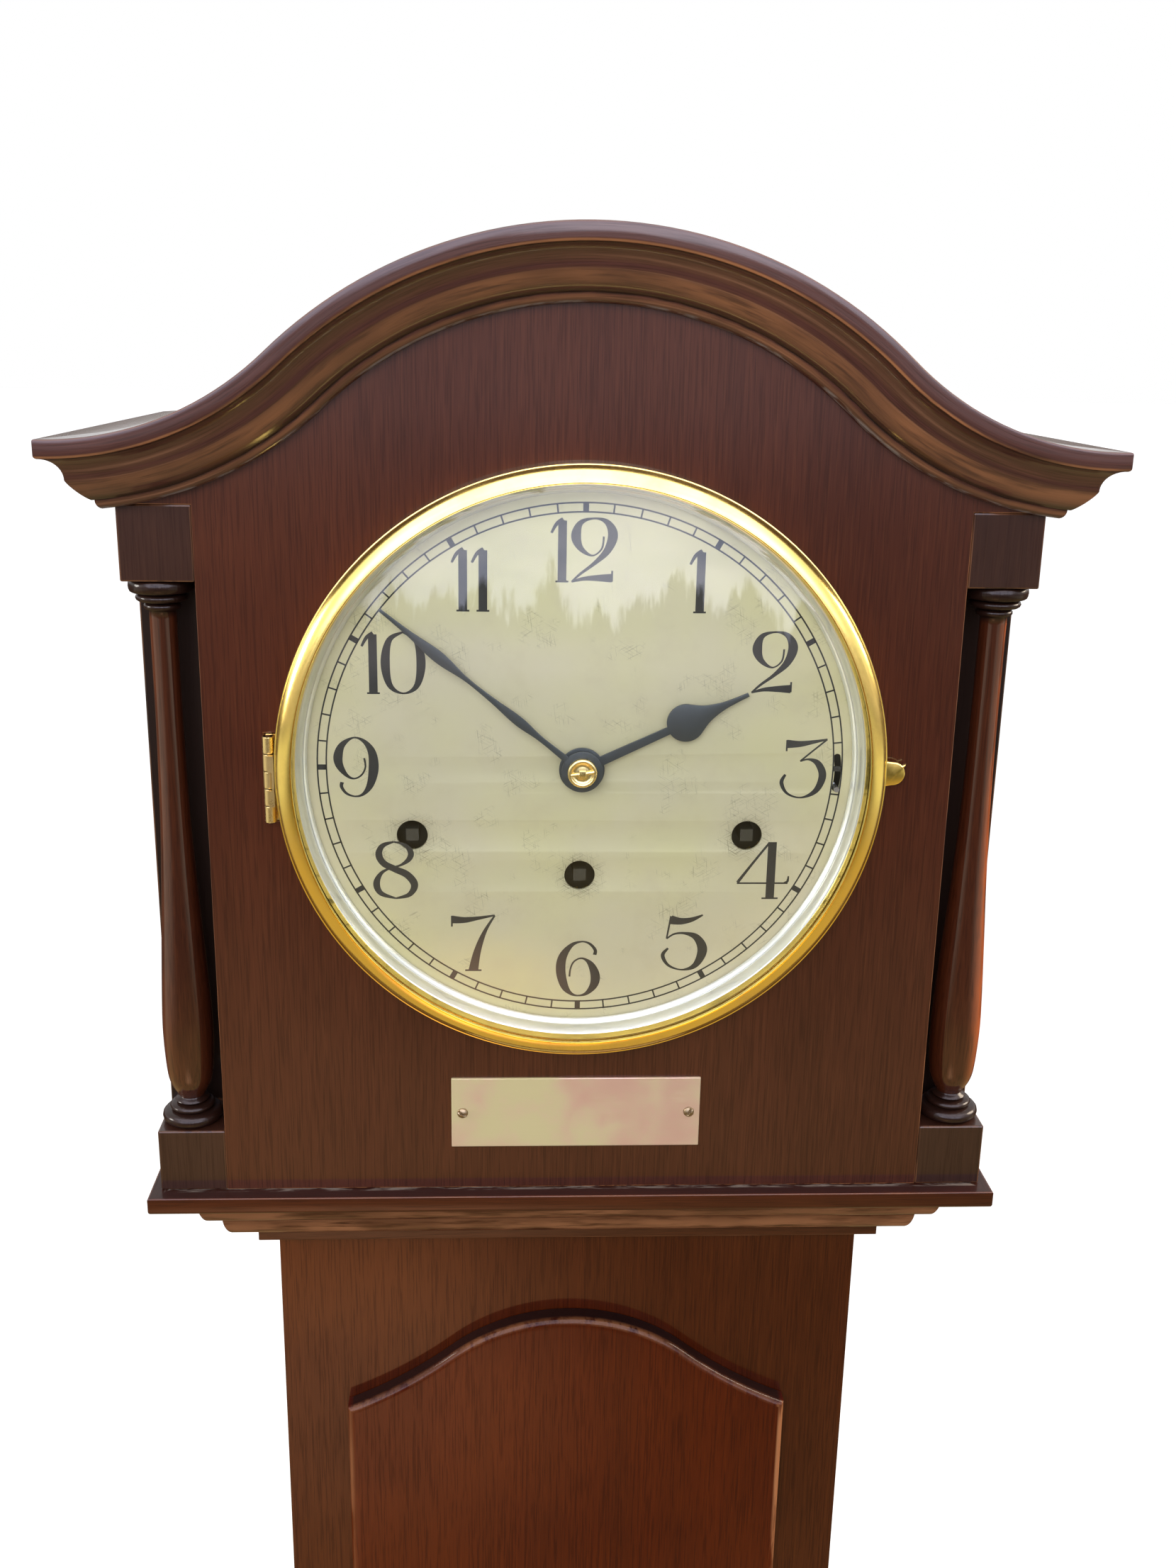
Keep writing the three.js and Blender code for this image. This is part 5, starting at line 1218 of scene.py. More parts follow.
# %% Node tree helper
class Nodes:
    """A Geometry Nodes tree with named inputs, built one node at a time."""

    def __init__(self, name, inputs):
        self.tree = bpy.data.node_groups.new(name, "GeometryNodeTree")
        self.sockets = {}
        for title, (kind, value) in inputs.items():
            socket = self.tree.interface.new_socket(title, in_out="INPUT", socket_type=kind)
            if value is not None:
                socket.default_value = value
            self.sockets[title] = socket.identifier
        self.tree.interface.new_socket("Geometry", in_out="OUTPUT", socket_type="NodeSocketGeometry")
        self.start = self.tree.nodes.new("NodeGroupInput")
        self.end = self.tree.nodes.new("NodeGroupOutput")

    def given(self, title):
        return self.start.outputs[title]

    def add(self, kind, settings=None, sockets=None, out=0):
        node = self.tree.nodes.new(kind)
        for key, value in (settings or {}).items():
            setattr(node, key, value)
        for key, value in (sockets or {}).items():
            for single in value if isinstance(value, list) else [value]:
                if isinstance(single, bpy.types.NodeSocket):
                    self.tree.links.new(single, node.inputs[key])
                else:
                    node.inputs[key].default_value = single
        return node.outputs[out]

    def math(self, operation, first, second=0.0):
        return self.add("ShaderNodeMath", {"operation": operation}, {0: first, 1: second})

    def deliver(self, geometry, material):
        real = self.add("GeometryNodeRealizeInstances", None, {"Geometry": geometry})
        done = self.add("GeometryNodeSetMaterial", None, {"Geometry": real, "Material": material})
        self.tree.links.new(done, self.end.inputs["Geometry"])

    def grow(self, name, seed_mesh, values):
        """Runs the tree on a mesh and returns the result as one plain mesh object."""
        obj = bpy.data.objects.new(name, seed_mesh)
        bpy.context.scene.collection.objects.link(obj)
        modifier = obj.modifiers.new(name, "NODES")
        modifier.node_group = self.tree
        for title, value in values.items():
            modifier[self.sockets[title]] = value
        return plain(obj)


print("node tree helper ready")

# %% Minute track
TRACK_OUTER = 95.0
TRACK_INNER = 91.8
LINE_WIDTH = 0.58
BLOCK_WIDTH = 2.0
RING_WIDTH = 0.55
INK_HEIGHT = 0.04
MINUTES = 60


def minute_track_tree():
    nodes = Nodes("minute_track", {
        "Inner Radius": ("NodeSocketFloat", TRACK_INNER * MM),
        "Outer Radius": ("NodeSocketFloat", TRACK_OUTER * MM),
        "Line Width": ("NodeSocketFloat", LINE_WIDTH * MM),
        "Block Width": ("NodeSocketFloat", BLOCK_WIDTH * MM),
        "Ring Width": ("NodeSocketFloat", RING_WIDTH * MM),
        "Height": ("NodeSocketFloat", INK_HEIGHT * MM),
        "Material": ("NodeSocketMaterial", None),
    })
    inner, outer, line, height = (
        nodes.given(title) for title in ("Inner Radius", "Outer Radius", "Line Width", "Height"))
    index = nodes.add("GeometryNodeInputIndex")
    angle = nodes.math("MULTIPLY", index, 2 * math.pi / MINUTES)
    middle = nodes.math("MULTIPLY", nodes.math("ADD", inner, outer), 0.5)
    x = nodes.math("MULTIPLY", nodes.math("SINE", angle), middle)
    z = nodes.math("MULTIPLY", nodes.math("COSINE", angle), middle)
    place = nodes.add("ShaderNodeCombineXYZ", None, {"X": x, "Z": z})
    points = nodes.add("GeometryNodePoints", None, {"Count": MINUTES, "Position": place})
    between = nodes.math("SUBTRACT", outer, inner)
    fifth = nodes.math("LESS_THAN", nodes.math("MODULO", index, 5.0), 0.5)
    wider = nodes.math("SUBTRACT", nodes.given("Block Width"), line)
    width = nodes.math("ADD", line, nodes.math("MULTIPLY", fifth, wider))
    size = nodes.add("ShaderNodeCombineXYZ", None, {"X": width, "Y": height, "Z": between})
    spin = nodes.add("ShaderNodeCombineXYZ", None, {"Y": angle})
    unit = nodes.add("GeometryNodeMeshCube", None, {"Size": (1.0, 1.0, 1.0)})
    marks = nodes.add("GeometryNodeInstanceOnPoints", None, {
        "Points": points, "Instance": unit, "Rotation": spin, "Scale": size})
    profile = nodes.add("GeometryNodeCurvePrimitiveQuadrilateral", None, {
        "Width": nodes.given("Ring Width"), "Height": height})
    rings = []
    for radius in (inner, outer):
        hoop = nodes.add("GeometryNodeCurvePrimitiveCircle", None, {
            "Resolution": ROUND_STEPS, "Radius": radius})
        swept = nodes.add("GeometryNodeCurveToMesh", None, {"Curve": hoop, "Profile Curve": profile})
        rings.append(nodes.add("GeometryNodeTransform", None, {
            "Geometry": swept, "Rotation": (math.pi / 2, 0.0, 0.0)}))
    whole = nodes.add("GeometryNodeJoinGeometry", None, {"Geometry": [marks, *rings]})
    nodes.deliver(whole, nodes.given("Material"))
    return nodes


track = minute_track_tree().grow("minute_track", bpy.data.meshes.new("track_seed"), {
    "Line Width": LINE_WIDTH * MM, "Block Width": BLOCK_WIDTH * MM})
track.data.transform(Matrix.Translation(DIAL - Vector((0, INK_HEIGHT * MM / 2, 0))))
dress(tidy(track, merge=1e-7), dial_ink)
print("minute track of", len(track.data.polygons), "faces")

# %% [markdown]
# The numerals are upright figures with strong contrast: thick stems and thin hairlines. No font is
# used. Each figure is a few strokes, and a stroke is a smooth line through points that carry half
# its width, so the line swells as a pen does. Figures are one unit tall.

# %% Figures
STEM = 0.067
HAIR = 0.014
FIGURES = {
    "0": [[(0.35, 0.987, HAIR), (0.14, 0.86, 0.045), (0.072, 0.5, 0.072), (0.14, 0.14, 0.045),
           (0.35, 0.013, HAIR), (0.56, 0.14, 0.045), (0.63, 0.5, 0.072), (0.56, 0.86, 0.045),
           (0.35, 0.987, HAIR)]],
    "1": [[(0.19, 0.0, STEM), (0.19, 0.95, STEM)],
          [(0.2, 0.97, 0.032), (0.1, 0.9, 0.028), (0.02, 0.76, 0.018)],
          [(0.09, 0.014, HAIR), (0.29, 0.014, HAIR)]],
    "2": [[(0.515, 0.712, 0.015), (0.485, 0.52, HAIR), (0.338, 0.418, HAIR), (0.16, 0.53, 0.045),
           (0.088, 0.718, 0.077), (0.16, 0.92, 0.04), (0.37, 0.985, HAIR), (0.56, 0.93, 0.042),
           (0.655, 0.741, 0.077), (0.575, 0.5, 0.058), (0.38, 0.3, 0.03), (0.17, 0.14, 0.02),
           (0.03, 0.012, HAIR)],
          [(0.03, 0.012, HAIR), (0.22, 0.06, 0.03), (0.45, 0.072, 0.05), (0.65, 0.072, 0.068)],
          [(0.655, 0.02, HAIR), (0.655, 0.185, HAIR)]],
    "3": [[(0.09, 0.91, 0.07), (0.3, 0.91, 0.05), (0.52, 0.945, 0.03), (0.74, 0.988, HAIR)],
          [(0.09, 0.79, HAIR), (0.09, 0.975, HAIR)],
          [(0.735, 0.985, HAIR), (0.52, 0.8, HAIR), (0.32, 0.625, HAIR)],
          [(0.32, 0.625, HAIR), (0.46, 0.655, 0.018), (0.61, 0.585, 0.05), (0.695, 0.38, 0.062),
           (0.6, 0.13, 0.045), (0.37, 0.013, HAIR), (0.14, 0.08, 0.02), (0.035, 0.26, 0.032),
           (0.09, 0.4, 0.02)]],
    "4": [[(0.575, 0.0, STEM * 1.06), (0.575, 0.99, STEM * 1.06)],
          [(0.53, 0.985, 0.018), (0.27, 0.63, 0.02), (0.03, 0.29, 0.026)],
          [(0.02, 0.277, HAIR), (0.86, 0.277, HAIR)],
          [(0.8, 0.28, 0.016), (0.855, 0.31, 0.02), (0.868, 0.4, 0.012)],
          [(0.44, 0.012, HAIR), (0.71, 0.012, HAIR)]],
    "5": [[(0.155, 0.905, 0.078), (0.32, 0.88, 0.058), (0.5, 0.91, 0.04), (0.68, 0.99, HAIR)],
          [(0.152, 0.97, 0.016), (0.09, 0.57, HAIR)],
          [(0.09, 0.57, HAIR), (0.22, 0.655, 0.016), (0.4, 0.665, 0.024), (0.59, 0.59, 0.058),
           (0.695, 0.37, 0.082),
           (0.59, 0.1, 0.05), (0.37, 0.013, HAIR), (0.14, 0.09, 0.022), (0.035, 0.27, 0.032),
           (0.12, 0.4, 0.018)]],
    "6": [[(0.64, 0.75, 0.03), (0.645, 0.84, 0.027), (0.55, 0.95, 0.02), (0.415, 0.985, HAIR),
           (0.25, 0.92, 0.035),
           (0.11, 0.72, 0.07), (0.078, 0.47, 0.08), (0.14, 0.2, 0.065), (0.25, 0.055, 0.03),
           (0.38, 0.014, HAIR),
           (0.52, 0.06, 0.033), (0.635, 0.21, 0.068), (0.655, 0.38, 0.078), (0.59, 0.56, 0.055),
           (0.49, 0.665, 0.022),
           (0.39, 0.685, HAIR), (0.29, 0.62, HAIR), (0.24, 0.5, HAIR), (0.225, 0.36, 0.016)]],
    "7": [[(0.02, 0.915, 0.068), (0.22, 0.905, 0.052), (0.46, 0.94, 0.03), (0.72, 0.988, HAIR)],
          [(0.015, 0.79, HAIR), (0.015, 0.98, HAIR)],
          [(0.72, 0.985, HAIR), (0.585, 0.76, 0.027), (0.495, 0.55, 0.045), (0.42, 0.3, 0.062),
           (0.365, 0.01, 0.08)],
          [(0.23, 0.012, HAIR), (0.5, 0.012, HAIR)]],
    "8": [[(0.36, 0.987, HAIR), (0.18, 0.92, 0.04), (0.115, 0.77, 0.055), (0.19, 0.62, 0.055),
           (0.37, 0.52, 0.055),
           (0.57, 0.42, 0.06), (0.685, 0.25, 0.06), (0.6, 0.08, 0.04), (0.38, 0.013, HAIR)],
          [(0.36, 0.987, HAIR), (0.53, 0.94, 0.025), (0.63, 0.81, 0.048), (0.6, 0.69, 0.042),
           (0.47, 0.59, 0.02),
           (0.31, 0.54, HAIR), (0.15, 0.45, 0.03), (0.07, 0.27, 0.055), (0.14, 0.1, 0.042),
           (0.38, 0.013, HAIR)]],
    "9": [[(0.49, 0.65, 0.016), (0.505, 0.5, HAIR), (0.44, 0.37, HAIR), (0.32, 0.31, HAIR),
           (0.2, 0.37, 0.03),
           (0.095, 0.53, 0.062), (0.078, 0.69, 0.073), (0.15, 0.87, 0.048), (0.33, 0.985, HAIR),
           (0.5, 0.92, 0.033),
           (0.615, 0.74, 0.065), (0.635, 0.48, 0.08), (0.58, 0.22, 0.058), (0.47, 0.06, 0.027),
           (0.34, 0.014, HAIR),
           (0.2, 0.06, 0.02), (0.12, 0.17, 0.026), (0.13, 0.25, 0.03)]],
}
FIGURE_WIDTH = {"1": 0.31, "4": 0.88}
USUAL_WIDTH = 0.73
TIGHT = 0.05
FIGURE_HEIGHT = 22.6
FIGURE_RADIUS = 78.6
FIGURE_NUDGE = {3: 2.0, 9: 2.4, 10: -2.0}
STROKE_STEPS = 7
INK_LAYER = 0.05
INK_FOOT = 0.002 * MM


def stroke_outline(stroke):
    """The outline of a stroke: down one side, round its end and back up the other side."""
    line = smooth_through(stroke, STROKE_STEPS)
    left, right = [], []
    for i, (x, z, half) in enumerate(line):
        before, after = line[max(i - 1, 0)], line[min(i + 1, len(line) - 1)]
        run, rise = after[0] - before[0], after[1] - before[1]
        length = math.hypot(run, rise)
        if length < 1e-6:
            continue
        left.append((x - rise / length * half, z + run / length * half))
        right.append((x + rise / length * half, z - run / length * half))
    return left + right[::-1]


def add_stroke(work, outline, place, layer):
    """Adds a stroke to the mesh as strips between its two sides, closed at the back and the front."""
    half = len(outline) // 2
    front = DIAL.y - INK_HEIGHT * MM * (1 + INK_LAYER * layer)
    sides = []
    for y in (front, DIAL.y - INK_FOOT):
        loop = [(place[0] + x * FIGURE_HEIGHT * MM, place[1] + z * FIGURE_HEIGHT * MM) for x, z in outline]
        sides.append([work.verts.new((DIAL.x + x, y, DIAL.z + z)) for x, z in loop])
    for loop in sides:
        for i in range(half - 1):
            work.faces.new((loop[i], loop[i + 1], loop[-i - 2], loop[-i - 1]))
    count = len(outline)
    for i in range(count):
        j = (i + 1) % count
        work.faces.new((sides[0][i], sides[0][j], sides[1][j], sides[1][i]))


def numeral(work, hour):
    text = str(hour)
    widths = [FIGURE_WIDTH.get(figure, USUAL_WIDTH) for figure in text]
    whole = sum(widths) + TIGHT * (len(text) - 1) - (TIGHT if text == "1" else 0)
    angle = math.radians(30 * hour)
    radius = FIGURE_RADIUS + FIGURE_NUDGE.get(hour, 0.0)
    x = radius * math.sin(angle) * MM - whole / 2 * FIGURE_HEIGHT * MM
    z = radius * math.cos(angle) * MM - FIGURE_HEIGHT / 2 * MM
    for figure, width in zip(text, widths):
        for layer, stroke in enumerate(FIGURES[figure]):
            add_stroke(work, stroke_outline(stroke), (x, z), layer)
        x += (width + (0.0 if figure == "1" else TIGHT)) * FIGURE_HEIGHT * MM


def numerals():
    work = bmesh.new()
    for hour in range(1, 13):
        numeral(work, hour)
    bmesh.ops.recalc_face_normals(work, faces=work.faces)
    mesh = bpy.data.meshes.new("numerals")
    work.to_mesh(mesh)
    work.free()
    obj = bpy.data.objects.new("numerals", mesh)
    bpy.context.scene.collection.objects.link(obj)
    return obj


figures = dress(numerals(), dial_ink)
print("numerals of", len(figures.data.polygons), "faces")

# %% [markdown]
# The hands are blued almost to black. The minute hand has two slender swellings, and the hour hand
# a round spade. They are cut from sheet with softened edges, and each turns on a body of its own.

# %% Hands
HOUR_ANGLE = 64.6
MINUTE_ANGLE = 309.2
MINUTE_LENGTH = SIGHT_RADIUS - 6.5
HOUR_LENGTH = 65.5
MINUTE_STATIONS = ((0.0, 1.5), (0.2, 0.95), (0.32, 1.75), (0.45, 1.0), (0.58, 0.8), (0.715, 2.1),
                   (0.86, 1.0), (1.0, 0.5))
SPADE_PLACE = 41.0
SPADE_RADIUS = 6.9
SPADE_STEM = 1.4
SPADE_SHOULDER = 38
SPADE_TIP = ((3.1, 8.4), (1.5, 14.0), (0.95, 19.0))
TIP_HALF = 0.7
HOUR_ROOT = 1.7
HAND_ROUNDING = 0.12
BORES = {"minute_hand": 2.0, "hour_hand": 3.4}
MINUTE_BOSS = 7.5
HOUR_BOSS = 8.2


def with_boss(side, boss, root):
    """The outline of a hand from its right side, mirrored, with a round boss at its root."""
    entry = math.degrees(math.asin(root / boss))
    round_boss = arc(0, 0, boss, boss, 90 + entry, 450 - entry, 40)
    return round_boss + side + [(-x, z) for x, z in reversed(side)]


def minute_outline():
    side = smooth_through([(half, share * MINUTE_LENGTH) for share, half in MINUTE_STATIONS], 8)
    blade = [(x, z) for x, z in side if math.hypot(x, z) > MINUTE_BOSS]
    return with_boss(blade, MINUTE_BOSS, blade[0][0])


def hour_outline():
    """The hour hand: a stem, and a round spade that draws out to a point."""
    join = math.degrees(math.asin(SPADE_STEM / SPADE_RADIUS))
    spade = arc(0, SPADE_PLACE, SPADE_RADIUS, SPADE_RADIUS, -90 + join, SPADE_SHOULDER, 16)
    tip = [(half, SPADE_PLACE + up) for half, up in SPADE_TIP]
    drawn = smooth_through([spade[-1], *tip, (TIP_HALF, HOUR_LENGTH)], 6)
    return with_boss(spade + [tuple(point) for point in drawn[1:]], HOUR_BOSS, HOUR_ROOT)


def hand(body, outline, degrees):
    node = f"{body}_hand"
    low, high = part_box(node)
    thickness = (high.y - low.y) / MM
    eye = [circle(BORES[node], 32)]
    obj = sheet(f"{body}_blade", outline, eye, low.y, thickness, rounding=HAND_ROUNDING)
    turn = Matrix.Rotation(math.radians(degrees), 4, "Y")
    obj.data.transform(Matrix.Translation(DIAL) @ turn @ Matrix.Translation(-DIAL))
    dress(obj, blued_steel, body=body, nodes=[node])


hand("minute", minute_outline(), MINUTE_ANGLE)
hand("hour", hour_outline(), HOUR_ANGLE)
print("hands", round(MINUTE_LENGTH, 1), "and", HOUR_LENGTH, "mm")

# %% [markdown]
# A dished brass collet is pressed on the minute hand by a taper pin through the arbor. The arbor ends
# in a small square, and the pin lies across the dish.

# %% Collet
COLLET_RADIUS = 5.3
PIN_LENGTH = 8.4
PIN_RADII = (0.5, 0.75)
PIN_DEPTH = 0.35 * MM
PIN_ANGLE = 82
ARBOR_SQUARE = 2.4
ARBOR_STAND = 0.5 * MM
ARBOR_LENGTH = 1.6
COLLET_RIM = 0.8
DISH = ((2.4, 0.8), (1.6, 0.6), (0, 0.5))
collet_low, collet_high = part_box("hand_collet")
collet_height = (collet_high.y - collet_low.y) / MM
rim = arc(COLLET_RADIUS - COLLET_RIM, COLLET_RIM, COLLET_RIM, COLLET_RIM, 0, -150, 12)
dish = [(rim[-1][0] - 0.5, COLLET_RIM), *((radius, COLLET_RIM * share) for radius, share in DISH)]
collet_profile = [(0, collet_height), (COLLET_RADIUS, collet_height), *rim, *dish]
collet_centre = Vector((DIAL.x, collet_low.y, DIAL.z))
collet = turned("dished_collet", collet_profile, collet_centre, "Y", 64)
dress(collet, worn_brass, body="minute", nodes=["hand_collet"], sharp=TURNED_ANGLE)
half = PIN_LENGTH / 2
pin_profile = [(0, -half), (PIN_RADII[0], -half), (PIN_RADII[1], half), (0, half)]
pin = turned("taper_pin", pin_profile, Vector((0, 0, 0)), "Z", 20)
pin_place = Matrix.Translation(collet_centre + Vector((0, PIN_DEPTH, 0)))
pin.data.transform(pin_place @ Matrix.Rotation(math.radians(PIN_ANGLE), 4, "Y"))
dress(pin, worn_brass, body="minute")
half = ARBOR_SQUARE / 2
square = [(-half, -half), (half, -half), (half, half), (-half, half)]
arbor_end = sheet("arbor_end", square, [], collet_low.y - ARBOR_STAND, ARBOR_LENGTH, rounding=0.2)
dress(arbor_end, worn_brass, body="minute")
print("collet, pin and arbor")

# %% [markdown]
# The bezel's hinge and catch are small, but they sit on the silhouette. Round knuckles replace the
# faceted ones, and the catch is a rounded tab with a nib for the finger.

# %% Bezel hinge and catch
KNUCKLE_RADIUS = 2.1
KNUCKLES = 5
KNUCKLE_EDGE = 0.3
CATCH_SHARE = 0.92
NIB_POINT = 17
NIB_HEIGHT = 0.78
leaf_low, leaf_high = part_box("bezel_hinge_fixed")
hinge_axis = next(joint for joint in frame["joints"] if joint["name"] == "bezel_swing")["pos_m"]
hinge_step = (leaf_high.z - leaf_low.z) / KNUCKLES / MM


def knuckle(name, i):
    bottom = leaf_low.z / MM + i * hinge_step + FIT / 2
    top = bottom + hinge_step - FIT
    narrow = KNUCKLE_RADIUS - KNUCKLE_EDGE
    profile = [(0, bottom), (narrow, bottom), (KNUCKLE_RADIUS, bottom + KNUCKLE_EDGE),
               (KNUCKLE_RADIUS, top - KNUCKLE_EDGE), (narrow, top), (0, top)]
    return turned(name, profile, Vector((hinge_axis[0], hinge_axis[1], 0)), "Z", 32)


for i in range(KNUCKLES):
    body = "bezel_door" if i % 2 else "case"
    dress(knuckle(f"hinge_knuckle_{i + 1}", i), worn_brass, body=body)
for node in ("bezel_hinge_fixed", "bezel_hinge_leaf"):
    finish_solid(node, worn_brass)
catch_low, catch_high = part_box("bezel_catch")
catch_half = (catch_high.z - catch_low.z) / 2 / MM
catch_start, catch_end = ((value - DIAL.x) / MM for value in (catch_low.x, catch_high.x))
tip_radius = catch_half * CATCH_SHARE
catch_tip = arc(catch_end - catch_half, 0, tip_radius, tip_radius, -90, 90, 24)
catch_tip[NIB_POINT] = (catch_end - 0.15, catch_half * NIB_HEIGHT)
tab = [(catch_start, -catch_half), *catch_tip, (catch_start, catch_half)]
catch_thickness = (catch_high.y - catch_low.y) / MM
catch = sheet("finger_catch", tab, [], catch_low.y, catch_thickness, rounding=0.5)
dress(catch, polished_brass, body="bezel_door", nodes=["bezel_catch"])
print(KNUCKLES, "knuckles and a catch")

# %% [markdown]
# Screws repeat: two hold the plaque, and three hold the fixed half of each door hinge. One node tree
# puts a slotted, domed head on every point of a small seed mesh, turned by an angle that the point
# carries.

# %% Screws
SCREW_TURNS = (0.5, 2.2, 1.1, 0.2, 1.8, 2.7)
HEAD_RADIUS = 1.9
HEAD_HEIGHT = 1.15
HEAD_SLOT = 0.75
HEAD_RINGS = 7
HEAD_STEPS = 28
PLAQUE_SCREW_X = 43.5 * MM
HINGE_SCREW_X = 5.0 * MM
HINGE_SCREW_Z = 6.0 * MM
HINGE_PROUD = 1.2 * MM


def screw_head():
    """A domed head with its axis along -Y and a straight slot, made as a lathe form with a cut."""
    vertices = []
    for ring in range(HEAD_RINGS + 1):
        lean = math.pi / 2 * ring / HEAD_RINGS
        out, height = HEAD_RADIUS * math.cos(lean), HEAD_HEIGHT * math.sin(lean)
        for i in range(HEAD_STEPS):
            angle = 2 * math.pi * i / HEAD_STEPS
            x, z = out * math.cos(angle), out * math.sin(angle)
            sunk = min(height, HEAD_HEIGHT - HEAD_SLOT) if abs(z) < HEAD_SLOT / 2 else height
            vertices.append(Vector((x, -sunk, z)) * MM)
    faces = [*bands(HEAD_RINGS + 1, HEAD_STEPS), tuple(range(HEAD_STEPS))]
    return tidy(mesh_object("head_pattern", vertices, faces))


def screw_tree():
    nodes = Nodes("screws", {
        "Geometry": ("NodeSocketGeometry", None),
        "Head": ("NodeSocketObject", None),
        "Size": ("NodeSocketFloat", 1.0),
        "Material": ("NodeSocketMaterial", None),
    })
    head = nodes.add("GeometryNodeObjectInfo", None, {"Object": nodes.given("Head")}, out="Geometry")
    angle = nodes.add("GeometryNodeInputNamedAttribute", {"data_type": "FLOAT"}, {"Name": "turn"})
    spin = nodes.add("ShaderNodeCombineXYZ", None, {"Y": angle})
    placed = nodes.add("GeometryNodeInstanceOnPoints", None, {
        "Points": nodes.given("Geometry"), "Instance": head, "Rotation": spin,
        "Scale": nodes.given("Size")})
    nodes.deliver(placed, nodes.given("Material"))
    return nodes


screws = screw_tree()
head_pattern = screw_head()


def screw_group(name, places, size, material, body):
    seed = bpy.data.meshes.new(name)
    seed.from_pydata([tuple(place) for place in places], [], [])
    turns = seed.attributes.new("turn", "FLOAT", "POINT")
    turns.data.foreach_set("value", [SCREW_TURNS[i % len(SCREW_TURNS)] for i in range(len(places))])
    group = screws.grow(name, seed, {"Head": head_pattern, "Size": size, "Material": material})
    return dress(group, material, body=body, sharp=SPUN_ANGLE)


plaque_low, plaque_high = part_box("plaque")
plaque_middle = (plaque_low.z + plaque_high.z) / 2
plaque_places = [Vector((side * PLAQUE_SCREW_X, plaque_low.y, plaque_middle)) for _, side in SIDES]
screw_group("plaque_screws", plaque_places, 1.1, dull_brass, "case")
dress(softened("plaque", 0.3), brushed_brass, nodes=["plaque"], sharp=FLAT_ANGLE)
for height in ("upper", "lower"):
    low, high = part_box(f"door_hinge_{height}")
    x, y = high.x - HINGE_SCREW_X, TRUNK_Y - HINGE_PROUD
    spread = (high.z - low.z) / 2 - HINGE_SCREW_Z
    middle = (low.z + high.z) / 2
    places = [Vector((x, y, middle + step * spread)) for step in (-1, 0, 1)]
    screw_group(f"hinge_screws_{height}", places, 0.9, polished_brass, "case")
bpy.data.objects.remove(head_pattern)
print("plaque and hinge screws")

# %% [markdown]
# Round pieces of the pendulum and the door's knob are turned afresh, so they stay smooth close up.
# The rest of the movement keeps its solids, the plates, rod, anchor, gong, lever, hammers and hinges
# with the arrises softened and the wheels, pinion, arbors and barrels as they are, because gears and
# plates are crisp in the real thing too.

# %% Pendulum, knob and movement
BOB_RIM = 1.6
KNOB_RADIUS = 9.0
KNOB_LENGTH = 14.0
KNOB_SHANK = 3.0
KNOB_STATIONS = ((0.0, 1.0), (0.6, 0.93), (1.0, 0.64), (0.85, 0.39), (0.45, 0.27), (0.5, 0.1), (0.95, 0.0))
TONGUE_HALF = 4.0
TONGUE_LENGTH = 25.0
TONGUE_THICKNESS = 2.5
METAL_ARRIS = 0.2


def lens_profile(radius, half):
    front = arc(0, -BOB_RIM, radius, BOB_RIM - half, 90, 0, 15)
    return front + [(r, -y) for r, y in reversed(front)]


bob_low, bob_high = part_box("pendulum_bob")
bob_centre = (bob_low + bob_high) / 2
bob_radius, bob_half = (bob_high.x - bob_low.x) / 2 / MM, (bob_high.y - bob_low.y) / 2 / MM
bob = turned("bob_lens", lens_profile(bob_radius, bob_half), bob_centre, "Y", 96)
dress(bob, worn_brass, body="pendulum", nodes=["pendulum_bob"])
knob_joint = next(joint for joint in frame["joints"] if joint["name"] == "knob_turn")
knob_low, knob_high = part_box("door_knob")
knob_centre = Vector((knob_joint["pos_m"][0], knob_low.y, knob_joint["pos_m"][2]))
knob_side = smooth_through([(r * KNOB_RADIUS, (1 - u) * KNOB_LENGTH) for r, u in KNOB_STATIONS], 7)
shank_end = (knob_high.y - knob_low.y) / MM - 0.2
shank = [(KNOB_SHANK, KNOB_LENGTH), (KNOB_SHANK, shank_end), (0.0, shank_end)]
knob = turned("turned_knob", [*(tuple(point) for point in knob_side), *shank], knob_centre, "Y", 64)
tongue_outline = [(-TONGUE_HALF, -TONGUE_HALF), (TONGUE_HALF, -TONGUE_HALF),
                  (TONGUE_HALF, TONGUE_LENGTH), (-TONGUE_HALF, TONGUE_LENGTH)]
tongue_front = knob_high.y - TONGUE_THICKNESS * MM
tongue = sheet("knob_tongue", tongue_outline, [], tongue_front, TONGUE_THICKNESS, rounding=0.4,
               origin=knob_centre)
dress(knob, polished_brass, body="knob", nodes=["door_knob"])
dress(tongue, polished_brass, body="knob")
METAL_NODES = {
    "rating_nut": ("nut", sheet_brass, "brushed_brass"),
    "pendulum_rod": ("pendulum", bright_steel, "steel"),
    "anchor": ("pendulum", bright_steel, "steel"),
    "front_plate": ("case", sheet_brass, "movement_brass"),
    "back_plate": ("case", sheet_brass, "movement_brass"),
    "gong": ("case", iron, "gong_iron"),
    "chime_lever": ("lever", bright_steel, "steel"),
    "door_hinge_upper": ("case", polished_brass, "polished_brass"),
    "door_hinge_lower": ("case", polished_brass, "polished_brass"),
    "door_leaf_upper": ("door", polished_brass, "polished_brass"),
    "door_leaf_lower": ("door", polished_brass, "polished_brass"),
}
for i in range(4):
    METAL_NODES[f"hammer_{i + 1}"] = (f"hammer_{i + 1}", bright_steel, "steel")
for node, (body, material, slot) in METAL_NODES.items():
    piece = softened(node, METAL_ARRIS, segments=1)
    dress(piece, material, body=body, nodes=[node], sharp=ROUND_ANGLE)
PLAIN_NODES = {"cannon_pinion": bright_steel, "minute_wheel": sheet_brass, "hour_wheel": sheet_brass,
               "escape_wheel": sheet_brass}
